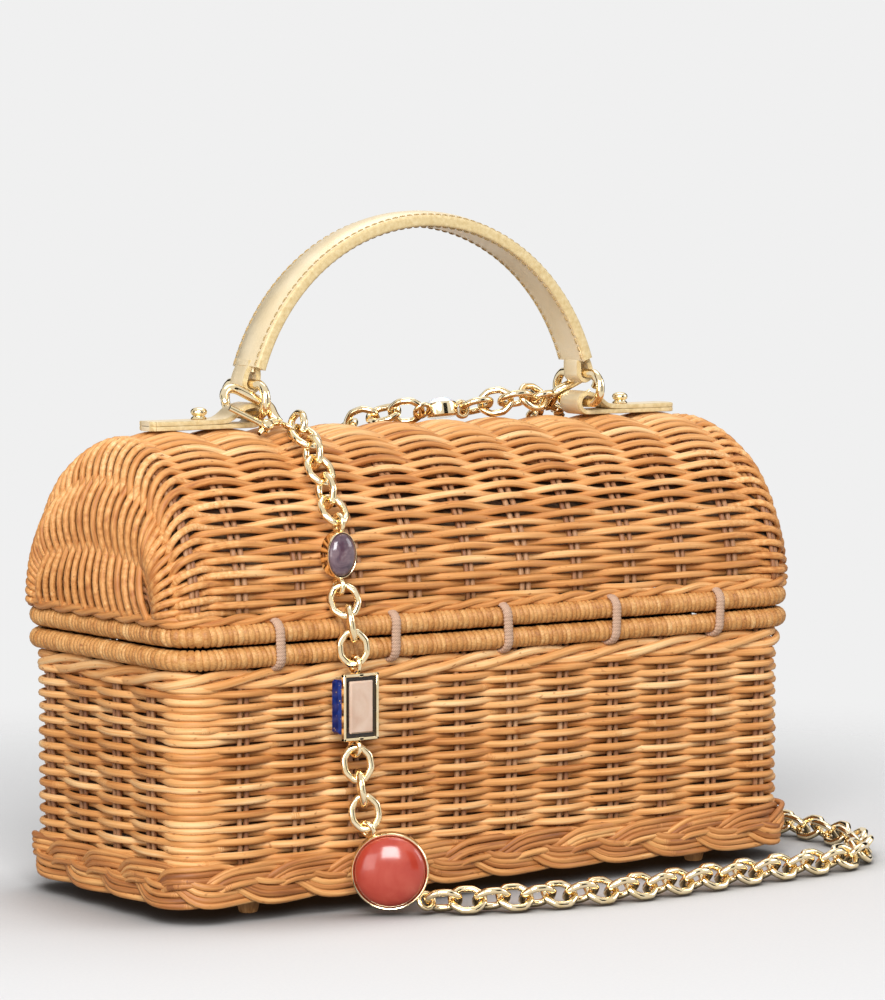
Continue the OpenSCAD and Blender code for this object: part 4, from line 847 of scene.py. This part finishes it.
# Waxed linen: a dull, darker thread whose two plies show as slanted bands.
thread, tree, shader = finish("waxed_linen_thread")
ply_scale = 0.9  # bands 0.7 mm apart
thread_at = node(tree, "UVMap", uv_map="place")
plies = node(tree, "TexWave", {"Vector": thread_at, "Scale": ply_scale, "Distortion": 0.5},
             bands_direction="DIAGONAL")
thread_tint = node(tree, "ValToRGB", {"Fac": plies}, ramp=[(0.0, "#8c7142"), (1.0, "#bfa571")])
wire(tree, shader, Base_Color=thread_tint, Roughness=0.6)
stitch_l, stitch_gap, stitch_w, stitch_t = 2.0, 0.8, 0.48, 0.42
seam, seam_lift = 6.15, 1.3
parts = []
for across, lift, push in [(seam, seam_lift, 1), (-seam, seam_lift, 1),
                           (seam, -strap_half, -1), (-seam, -strap_half, -1)]:
    r = strap_arc + lift
    count = int(r * (math.pi - 2 * strap_from) / (stitch_l + stitch_gap))
    for k in range(count):
        mid = strap_from + (math.pi - 2 * strap_from) * (k + 0.5) / count
        half = stitch_l / 2 / r
        line = [on_strap(mid + half * f, across + 0.12 * f, lift + push * h)
                for f, h in ((-1, -0.18), (-0.7, 0.12), (0, 0.2), (0.7, 0.12), (1, -0.18))]
        parts.append(rod(line, (push * math.cos(mid), 0, push * math.sin(mid)), stitch_w, stitch_t,
                         sides=6))
stitches = piece("handle_stitches", parts, thread)
seat(stitches, "handle", "gold_leather")

# Clasps. Cast and polished snap hooks in the same gold: a drop-shaped hook with a waisted neck, a
# spring gate on a pin, and a swivel eye that the chain hangs in.
hook_r, hook_arm, hook_u, hook_open = 4.2, 12.0, 2.4, 50.0
tail_u, eye_r, eye_wire = 4.2, 2.6, 1.6
clasp_turn, clasp_rise = math.radians(55), math.radians(34)
clasp_y = ring_flat + ring_bend * math.cos(clasp_turn)
clasp_z = ring_mid - ring_bend * math.sin(clasp_turn)


def at_clasp(side):
    """Where a clasp's own plane (along, up to the arm, out) lies on the bag."""
    turn = Matrix.Rotation(0 if side > 0 else math.pi, 4, "Z")
    return (turn @ Matrix.Translation((ring_x, clasp_y, clasp_z))
            @ Matrix.Rotation(-clasp_turn, 4, "X") @ Matrix.Rotation(-clasp_rise, 4, "Z")
            @ Matrix.Translation((-hook_u, 0, 0)) @ Matrix.Diagonal((1, -1, 1, 1)))


def moved(part, matrix):
    """A part at another place; a mirrored one has its faces turned back."""
    m = np.array(matrix)
    part["points"] = part["points"] @ m[:3, :3].T + m[:3, 3]
    if np.linalg.det(m[:3, :3]) < 0:
        part["faces"] = part["faces"][:, ::-1]
        part["caps"] = [cap[::-1] for cap in part["caps"]]
    return part


hook_line = [(-tail_u, 0), (-2.6, 0.1), (-1.0, 1.5), (0.5, 3.4), (2.4, 4.15), (5, hook_r),
             (8.5, hook_r)]
hook_line += [(hook_arm + hook_r * math.cos(a), hook_r * math.sin(a))
              for a in np.radians([90, 65, 40, 15, -10, -32, -hook_open])]
hook_path = eased([(u, v, 0) for u, v in hook_line], 4)
hook_share = np.linspace(0, 1, len(hook_path))
hook_thick = np.interp(hook_share, [0, 0.08, 0.2, 0.35, 0.6, 0.8, 1],
                       [2.6, 3.6, 3.6, 3.3, 3.2, 2.9, 2.1])
neck_path = eased([(-2.6, -0.1, 0), (-1.3, -1.4, 0), (-0.4, -2.9, 0), (0, -hook_r, 0)], 4)
eye_u = -tail_u - 0.3 - eye_wire / 2 - eye_r
eye_turns = {-1: -54, 1: -16}  # each eye turns on its swivel to where its first link hangs
ring_turn = np.linspace(0, 2 * np.pi, 28, endpoint=False)
for side, end in ((-1, "left"), (1, "right")):
    matrix = at_clasp(side)
    parts = [rod(hook_path, (0, 0, 1), hook_thick, sides=12),
             rod(neck_path, (0, 0, 1), np.linspace(3.2, 2.8, len(neck_path)), sides=12)]
    parts += [turned([(0.1, -1.8), (1.7, -1.8), (1.9, -1.6), (1.9, -0.9), (0.1, -0.9)],
                     (0, -hook_r, 0), (0, 0, flip)) for flip in (1, -1)]
    hook = piece(f"clasp_{end}_hook", [moved(p, matrix) for p in parts], gold, crease=60)
    seat(hook, "lid", "light_gold", f"clasp_{end}")
    gate_end = hook_arm + hook_r * math.cos(math.radians(hook_open)) - 1.6
    gate_line = eased([(0, -hook_r, 0), (3, -hook_r + 0.1, 0), (8, -hook_r + 0.1, 0),
                       (gate_end, -hook_r, 0)])
    thumb = [(0, -hook_r, 0), (1.0, -hook_r - 2.4, 0), (1.6, -hook_r - 4.2, 0)]
    gate = piece(f"clasp_{end}_gate", [moved(p, matrix) for p in (
        rod(gate_line, (0, 0, 1), 2.2, 1.7, sides=10), rod(thumb, (0, 0, 1), 1.6, 1.4, sides=10),
        turned([(0.1, -0.7), (1.5, -0.7), (1.5, 0.7), (0.1, 0.7)], (0, -hook_r, 0)))], gold, crease=60)
    seat(gate, f"gate_{end}", "light_gold", f"clasp_gate_{end}")
    a = math.radians(eye_turns[side])
    eye_path = np.column_stack([eye_u + eye_r * np.cos(ring_turn),
                                eye_r * np.sin(ring_turn) * math.cos(a),
                                eye_r * np.sin(ring_turn) * math.sin(a)])
    eye_axis = (0, -math.sin(a), math.cos(a))
    pin = rod([(eye_u + eye_r, 0, 0), (-tail_u + 0.5, 0, 0)], (0, 0, 1), 1.5, sides=12)
    eye = piece(f"clasp_{end}_eye", [moved(rod(eye_path, eye_axis, eye_wire, sides=10, closed=True),
                                           matrix), moved(pin, matrix)], gold, crease=60)
    seat(eye, "lid", "light_gold", f"clasp_eye_{end}")

# Chain. Cable links bent from round gold wire to soft octagons, soldered and polished. The strap
# runs from the left clasp down by three stones, round the bag on the floor, up the front and over
# the lid by a fourth stone to the right clasp.
link_l, link_w, link_wire = 12.6, 10.6, 2.3
link_m, link_bend = (link_l - link_wire) / 2, (link_w - link_wire) / 2
link_step = 2 * link_m - link_wire - 0.3
setting_eye, setting_t = 2.5, 4.5
rim_half_w, hang_gap = 50.4, 0.4
hang_y = -rim_half_w - link_w / 2 - hang_gap
ground_z = link_bend * math.sin(math.pi / 4) + link_wire / 2 + hang_gap
rise_x, rise_r = -20.0, 32.0
coral_d, amethyst_w, amethyst_h, block_w, block_h, block_d = 24.2, 10.8, 14.6, 13.0, 20.6, 7.5
pale_w, pale_h, pale_turn = 9.0, 11.0, math.radians(11)


def over_lid(x, turn, off):
    """A point over the dome, by its turn round it and its stand-off."""
    a = math.radians(turn)
    return np.array([x, (half_w + off) * math.sin(a), lid_low + (lid_rise + off) * math.cos(a)])


def clasp_end(side):
    """The middle of a swivel eye."""
    along = eye_u - hook_u
    lift = along * math.sin(clasp_rise)
    return np.array([side * (ring_x + along * math.cos(clasp_rise)),
                     side * (clasp_y - lift * math.cos(clasp_turn)),
                     clasp_z + lift * math.sin(clasp_turn)])


amethyst_at = over_lid(-64.4, -71.5, 5.1)
block_at = np.array([-62.5, hang_y - 0.4, 64.6])
coral_at = np.array([-54.6, -64.0, coral_d / 2 + 1.5])
coral_turn = math.radians(-35)
pale_at = over_lid(17, 11, 3.8)


def coral_eye(turn):
    """The middle of an eye on the coral's rim."""
    a = math.radians(turn)
    return coral_at + (coral_d / 2 + setting_eye) * np.array(
        [math.cos(a) * math.cos(coral_turn), math.cos(a) * math.sin(coral_turn), math.sin(a)])


def rise_point(turn, y):
    """A point where the chain leaves the floor and turns up the front."""
    a = math.radians(turn)
    return (rise_x + rise_r * (1 - math.sin(a)), y, ground_z + rise_r * (1 - math.cos(a)))


def strap_up(at):
    """Away from what the strap lies on: the floor, the front, then the dome."""
    if at[2] > lid_low:
        way = np.array([0, at[1] / half_w ** 2, (at[2] - lid_low) / lid_rise ** 2])
    else:
        rising = min(max((at[2] - ground_z) / rise_r, 0), 1)
        way = np.array([0, rising, 1 - rising])
    return way / np.linalg.norm(way)


link_path = []
for k in range(8):
    turn = np.radians(22.5 + 45 * np.array([k - 0.3, k, k + 0.3]))
    corner_at = np.column_stack([link_bend * np.cos(turn), 0 * turn, link_m * np.sin(turn)])
    link_path += list(corner_at * np.array([[0.985], [1.02], [0.985]]))
link_path = np.array(link_path)


def links(route, up, roll, odd):
    """The links of one strand, each a quarter turn from the last, and the line that they follow."""
    p = eased(route, 4, held=True)
    sums = np.concatenate([[0], np.cumsum(np.linalg.norm(np.diff(p, axis=0), axis=1))])
    run = sums[-1] - 2 * link_m
    count = 2 * math.floor((run / link_step + 1 - odd) / 2 + 0.5) + odd
    step = run / (count - 1)
    made = []
    for i in range(count):
        s = link_m + i * step
        at, fore, aft = [np.array([np.interp(q, sums, p[:, c]) for c in range(3)])
                         for q in (s, s + 0.9 * link_m, s - 0.9 * link_m)]
        t = (fore - aft) / np.linalg.norm(fore - aft)
        out = strap_up(at) if up is None else np.array(up)
        n = out - np.dot(out, t) * t
        n = n / np.linalg.norm(n)
        a = math.radians(roll + 90 * (i % 2))
        b = np.cross(t, n)
        frame_of = np.column_stack([math.cos(a) * b + math.sin(a) * n,
                                    -math.sin(a) * b + math.cos(a) * n, t])
        made.append(rod(link_path @ frame_of.T + at, frame_of[:, 1], link_wire, sides=10, closed=True,
                        tone=(i % 7) / 7))
    return made, p


def upright(z):
    """A step of z straight up."""
    return np.array([0, 0, z])


route_lid = [clasp_end(-1), over_lid(-58.6, -21.5, 5.4), over_lid(-60.6, -33, 5.3),
             over_lid(-62.1, -43, 5.4), over_lid(-63.3, -53, 5.6),
             amethyst_at + upright(amethyst_h / 2 + setting_eye)]
route_hinge = [amethyst_at - upright(amethyst_h / 2 + setting_eye), (-64.2, hang_y, 92.5),
               (-63.2, hang_y - 0.3, 84), block_at + upright(block_h / 2 + setting_eye)]
route_wall = [block_at - upright(block_h / 2 + setting_eye), (-61.6, -57.8, 42), coral_eye(118)]
route_strap = [coral_eye(-40)]
route_strap += [(x, y, ground_z) for x, y in [
    (-30, -79), (-8, -85), (18, -87.6), (46, -87), (75, -84.5), (99, -82.5), (117, -79.5),
    (131, -70.5), (142, -55), (147, -38), (147.5, -18), (146, 6), (142, 30), (133, 50), (118, 64),
    (98, 70.5), (70, 71.5), (42, 68), (26, 65.6)]]
route_strap += [rise_point(turn, y) for turn, y in [
    (0, 63.6), (22.5, 62.2), (45, 60.8), (67.5, 59.6), (90, 58.4)]]
route_strap += [(rise_x, -hang_y + 0.6, 48), (rise_x, -hang_y, 62), (rise_x, -hang_y, 80)]
route_strap += [over_lid(rise_x + x, turn, off) for x, turn, off in [
    (0.3, 82, 7), (1.2, 70, 5.8), (2.6, 58, 5.6), (5, 47, 5.6), (8.6, 36.5, 5.6), (13.2, 27.5, 5.4),
    (18.8, 19.8, 5), (24, 14.6, 4.4)]]
route_strap += [pale_at - (pale_h / 2 + setting_eye, 0, 0)]
route_top = [pale_at + (pale_h / 2 + setting_eye, 0, 0), (32, 7.4, 152), (39, 2, 153.6),
             (47, 0.6, 154.2), (53, 4, 153.6), (55.6, 10, 151.2), clasp_end(1)]

hang_face = (-0.5, -0.87, 0)  # the hanging links turn a flat side to the left end
chain_lid = piece("chain_lid_links", links(route_lid, (0, -0.82, 0.57), 90, 0)[0], gold)
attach(chain_lid, "lid")
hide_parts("chain_lid")
chain_hinge = piece("chain_hinge_links", links(route_hinge, hang_face, 0, 1)[0], gold)
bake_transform(chain_hinge)
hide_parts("chain_hinge")
chain_wall = piece("chain_wall_links", links(route_wall, hang_face, 0, 1)[0], gold)
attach(chain_wall, "base")
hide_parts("chain_wall")
chain_top = piece("chain_top_links", links(route_top, (0, 0.5, 0.85), 0, 0)[0], gold)
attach(chain_top, "lid")
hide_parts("chain_top")
strap_links, strap_line = links(route_strap, None, 45, 1)
chain_strap = piece("chain_strap_links", strap_links, gold)
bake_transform(chain_strap)
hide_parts("chain_floor", "chain_rise")

# Stones. Polished cabochons in rubbed-over gold settings: an amethyst, a round coral, a pale
# moonstone, and a block of lapis with a cream stone panel in a gold frame on its face.


def eye_ring(place, axis):
    """A small soldered eye of gold wire, its hole along axis."""
    axis = np.asarray(axis, float) / np.linalg.norm(axis)
    across = np.cross(axis, (0.31, 0.9, 0.3))
    across = across / np.linalg.norm(across)
    third = np.cross(axis, across)
    line = np.asarray(place) + setting_eye * (np.cos(ring_turn)[:, None] * across
                                              + np.sin(ring_turn)[:, None] * third)
    return rod(line, axis, eye_wire, sides=10, closed=True)


def bezel(place, axis, level, w, h):
    """A rubbed-over setting: a wall with a rolled lip round a stone, closed at the back."""
    half = setting_t / 2
    return turned([(0.05, -half), (0.93, -half), (0.98, -half + 0.15), (1.0, -half + 0.5),
                   (1.0, half - 0.7), (0.99, half - 0.25), (0.965, half), (0.935, half - 0.1),
                   (0.915, half - 0.5), (0.91, half - 1.2), (0.05, half - 1.2)],
                  place, axis, 48, (w / 2, h / 2), level=level)


def cabochon(place, axis, level, w, h, dome_h):
    """A stone's domed face above its setting."""
    base = setting_t / 2 - 1.1
    rings = [(0.05, base)]
    rings += [(0.912 * math.cos(a), setting_t / 2 - 0.5 + dome_h * math.sin(a))
              for a in np.radians([-20, 0, 12, 25, 38, 50, 62, 74, 85])]
    rings += [(0.012, setting_t / 2 - 0.5 + dome_h)]
    return turned(rings, place, axis, 48, (w / 2, h / 2), level=level)


def stone(name, stops, cell_mm, gloss=0.1, glow=0.0, coat=0.5, mirror=0.5):
    """A polished stone: clouds and bands of its colours under a clear gloss."""
    made, tree, shader = finish(name)
    at = node(tree, "TexCoord").outputs["Object"]
    clouds = node(tree, "TexNoise", {"Vector": at, "Scale": 1000 / cell_mm, "Detail": 5.0,
                                     "Distortion": 1.2})
    tint = node(tree, "ValToRGB", {"Fac": clouds}, ramp=stops)
    wire(tree, shader, Base_Color=tint, Roughness=gloss, Coat_Weight=coat, Coat_Roughness=0.03,
         Specular_IOR_Level=mirror, Subsurface_Weight=glow,
         Subsurface_Radius=(0.003, 0.0015, 0.001))
    return made, tree, shader, at, tint


amethyst_stone = stone("polished_amethyst", [
    (0.25, "#3f2c39"), (0.45, "#5a434e"), (0.62, "#725c63"), (0.8, "#8f7b7a")], 5, 0.14, 0.15,
    coat=0.3)[0]
coral_stone = stone("polished_coral", [
    (0.2, "#9a3021"), (0.45, "#a83b2b"), (0.65, "#b24937"), (0.85, "#bd6250")], 14, 0.18, 0.1,
    coat=0.2)[0]
pale_stone = stone("polished_moonstone", [
    (0.25, "#c9d0dc"), (0.5, "#e6e9ee"), (0.8, "#f5f4f1")], 6, 0.1, 0.2)[0]
cream_stone = stone("polished_cream_jasper", [
    (0.25, "#bf9d86"), (0.5, "#c9ab95"), (0.8, "#d3baa6")], 9, 0.16, 0.1)[0]
lapis, tree, shader, stone_at, tint = stone("polished_lapis_lazuli", [
    (0.2, "#061340"), (0.5, "#0c2467"), (0.75, "#143682"), (0.9, "#2c559f")], 3.5, 0.2,
    coat=0.0, mirror=0.25)
fleck_mm = 1.6  # grains of pyrite
flecks = node(tree, "TexVoronoi", {"Vector": stone_at, "Scale": 1000 / fleck_mm})
pyrite = node(tree, "MapRange", {"Value": flecks.outputs["Distance"], "From Min": 0.16,
                                 "From Max": 0.1})
speckled = node(tree, "Mix", {0: pyrite, 6: tint, 7: linear("#b99a52")}, data_type="RGBA")
tree.links.new(speckled.outputs[2], shader.inputs["Base Color"])

pale_tilt = math.atan2(lid_rise * math.sin(pale_turn), half_w * math.cos(pale_turn))
pale_out = np.array([0, math.sin(pale_tilt), math.cos(pale_tilt)])
coral_out = np.array([math.sin(coral_turn), -math.cos(coral_turn), 0])
coral_across = np.array([math.cos(coral_turn), math.sin(coral_turn), 0])


def coral_axis(turn, lean):
    """The way through an eye on the coral's rim, leaned about its own spoke."""
    spoke = coral_eye(turn) - coral_at
    spoke = spoke / np.linalg.norm(spoke)
    other = np.cross(coral_out, spoke)
    a = math.radians(lean)
    return math.cos(a) * coral_out - math.sin(a) * other


settings = [
    ("amethyst", "lid", "amethyst_stone", amethyst_stone, amethyst_at, (0, -1, 0), (1, 0, 0),
     amethyst_w, amethyst_h, 2.6,
     [(amethyst_at + upright(s * (amethyst_h / 2 + setting_eye)), (1, 0, 0)) for s in (-1, 1)]),
    ("coral", "base", "coral_stone", coral_stone, coral_at, coral_out, coral_across,
     coral_d, coral_d, 4.6,
     [(coral_eye(118), coral_axis(118, -50)), (coral_eye(-40), coral_axis(-40, -38))]),
    ("pale", "lid", "white_stone", pale_stone, pale_at, pale_out, np.cross(pale_out, (1, 0, 0)),
     pale_w, pale_h, 2.6,
     [(pale_at + (pale_h / 2 + setting_eye, 0, 0), np.cross((1, 0, 0), pale_out)),
      (pale_at - (pale_h / 2 + setting_eye, 0, 0),
       np.cross((1, 0, 0), pale_out) - pale_out)]),
]
for name, body, slot, material, place, axis, level, w, h, dome_h, eyes in settings:
    gem = "pale_stone" if name == "pale" else name
    mount = piece(f"{name}_bezel", [bezel(place, axis, level, w, h)]
                  + [eye_ring(at, way) for at, way in eyes], gold, crease=50)
    seat(mount, body, "light_gold", f"{name}_setting")
    cut = piece(f"{name}_cabochon", [cabochon(place, axis, level, w, h, dome_h)], material)
    seat(cut, body, slot, gem)


def slab(low, high, bevel):
    """A block with bevelled edges between two corners, its rings along Y."""
    (x0, y0, z0), (x1, y1, z1) = low, high
    rings = []
    for y, cut in ((y0, bevel), (y0 + bevel, 0), (y1 - bevel, 0), (y1, bevel)):
        a, b, c, d, e = x0 + cut, x1 - cut, z0 + cut, z1 - cut, 0.6 * bevel
        rings.append([(a + e, y, c), (b - e, y, c), (b, y, c + e), (b, y, d - e),
                      (b - e, y, d), (a + e, y, d), (a, y, d - e), (a, y, c + e)])
    return skin(np.array(rings))


block_front = block_at[1] - block_d / 2
frame_t, frame_edge, panel_gap = 1.6, 0.9, 1.3
lapis_end = 1.9
bx, bz = block_w / 2, block_h / 2
left_x, right_x = block_at[0] - bx, block_at[0] + bx
low_z, high_z = block_at[2] - bz, block_at[2] + bz
lapis_block = piece("block_lapis", [slab(
    (left_x - 0.3, block_front + frame_t, low_z + lapis_end),
    (right_x - 0.5, block_front + block_d, high_z - lapis_end), 1.3)], lapis, crease=30)
seat(lapis_block, "base", "lapis", "block_body")
# Dark recess: a brown-black fill with a soft gloss round the panel, painted shade that sets off the
# panel.
recess_shade, tree, shader = finish("recess_painted_shade")
recess_mottle_mm = 3
recess_shade_at = node(tree, "TexCoord").outputs["Object"]
recess_shade_mottle = node(tree, "TexNoise", {"Vector": recess_shade_at, "Scale": 1000 / recess_mottle_mm, "Detail": 2.0})
recess_shade_tint = node(tree, "ValToRGB", {"Fac": recess_shade_mottle},
                   ramp=[(0.3, "#1d1612"), (0.7, "#2c231c")])
recess_shade_gloss = node(tree, "MapRange", {"Value": recess_shade_mottle, "To Min": 0.2, "To Max": 0.35})
wire(tree, shader, Base_Color=recess_shade_tint, Roughness=recess_shade_gloss)
frame_parts = [slab((left_x, block_front, z0), (right_x, block_front + frame_t, z1), 0.2)
               for z0, z1 in ((low_z, low_z + frame_edge), (high_z - frame_edge, high_z))]
frame_parts += [slab((x0, block_front, low_z), (x1, block_front + frame_t, high_z), 0.2)
                for x0, x1 in ((left_x, left_x + frame_edge), (right_x - frame_edge, right_x))]
recess = slab((left_x + 0.3, block_front + 1.1, low_z + 0.3),
              (right_x - 0.3, block_front + frame_t, high_z - 0.3), 0.1)
# the recess round the panel takes the painted shade
recess["slots"][:] = 1
frame_parts.append(recess)
for s in (-1, 1):
    eye_at = block_at + upright(s * (bz + setting_eye))
    frame_parts.append(eye_ring(eye_at, (1, 0, 0)))
    frame_parts.append(slab((block_at[0] - 0.8, block_front, block_at[2] + s * (bz - 0.5) - 0.5),
                            (block_at[0] + 0.8, block_at[1] + 1.4,
                             block_at[2] + s * (bz - 0.5) + 0.5), 0.15))
block_frame = piece("block_gold_frame", frame_parts, gold, recess_shade, crease=30)
seat(block_frame, "base", "light_gold", "block_frame")
inset = frame_edge + panel_gap
cream_panel = piece("block_cream_panel", [slab(
    (left_x + inset, block_front - 0.2, low_z + inset),
    (right_x - inset, block_front + 1.2, high_z - inset), 0.5)], cream_stone, crease=30)
seat(cream_panel, "base", "cream_stone", "block_panel")

# Front closing. A tongue of the foiled leather is riveted to the lid and holds by a magnetic snap
# on the wall, under the front rim.
tongue_y = rim_half_w + 0.4
tongue_w, tongue_top, tongue_low = 18.0, 104.3, 60.4
rivet_z, snap_z = 98.3, 68.9
tongue_line = eased([(0, tongue_y + leather_t / 2, z) for z in
                     (tongue_low, tongue_low + 2, tongue_low + 6, 72, 88, tongue_top - 6,
                      tongue_top - 2, tongue_top)], 5)
run = tongue_line[:, 2] - tongue_low
near = np.clip(np.minimum(run / 6, (tongue_top - tongue_low - run) / 3), 0, 1)
tongue = piece("tongue_leather", [rod(
    tongue_line, (0, 1, 0), tongue_w * (0.4 + 0.6 * np.sqrt(1 - (1 - near) ** 2)), leather_t,
    section=strip_section, slots=strip_slots)], foil_leather, edge_paint, crease=50)
seat(tongue, "lid", "gold_leather", "closure_tongue")
for name, body, stands_for, y, z, profile in [
    ("rivet_turned", "lid", "closure_rivet", tongue_y + leather_t, rivet_z,
     [(0.1, -4), (1.5, -4), (1.5, 0), (2.8, 0), (3.0, 0.4), (2.8, 1.0), (1.8, 1.5), (0.1, 1.7)]),
    ("snap_upper_disc", "lid", "snap_upper", tongue_y - 1.25, snap_z,
     [(0.1, 0), (6.1, 0), (6.5, 0.2), (6.5, 1.0), (6.1, 1.2), (0.1, 1.2)]),
    ("snap_lower_disc", "base", "snap_lower", half_w + 0.2, snap_z,
     [(0.1, -1.5), (6.1, -1.5), (6.5, -1.2), (6.5, 0.6), (6.1, 0.8), (0.1, 0.8)]),
]:
    disc = piece(name, [turned(profile, (0, y, z), (0, 1, 0))], gold, crease=60)
    seat(disc, body, "light_gold", stands_for)
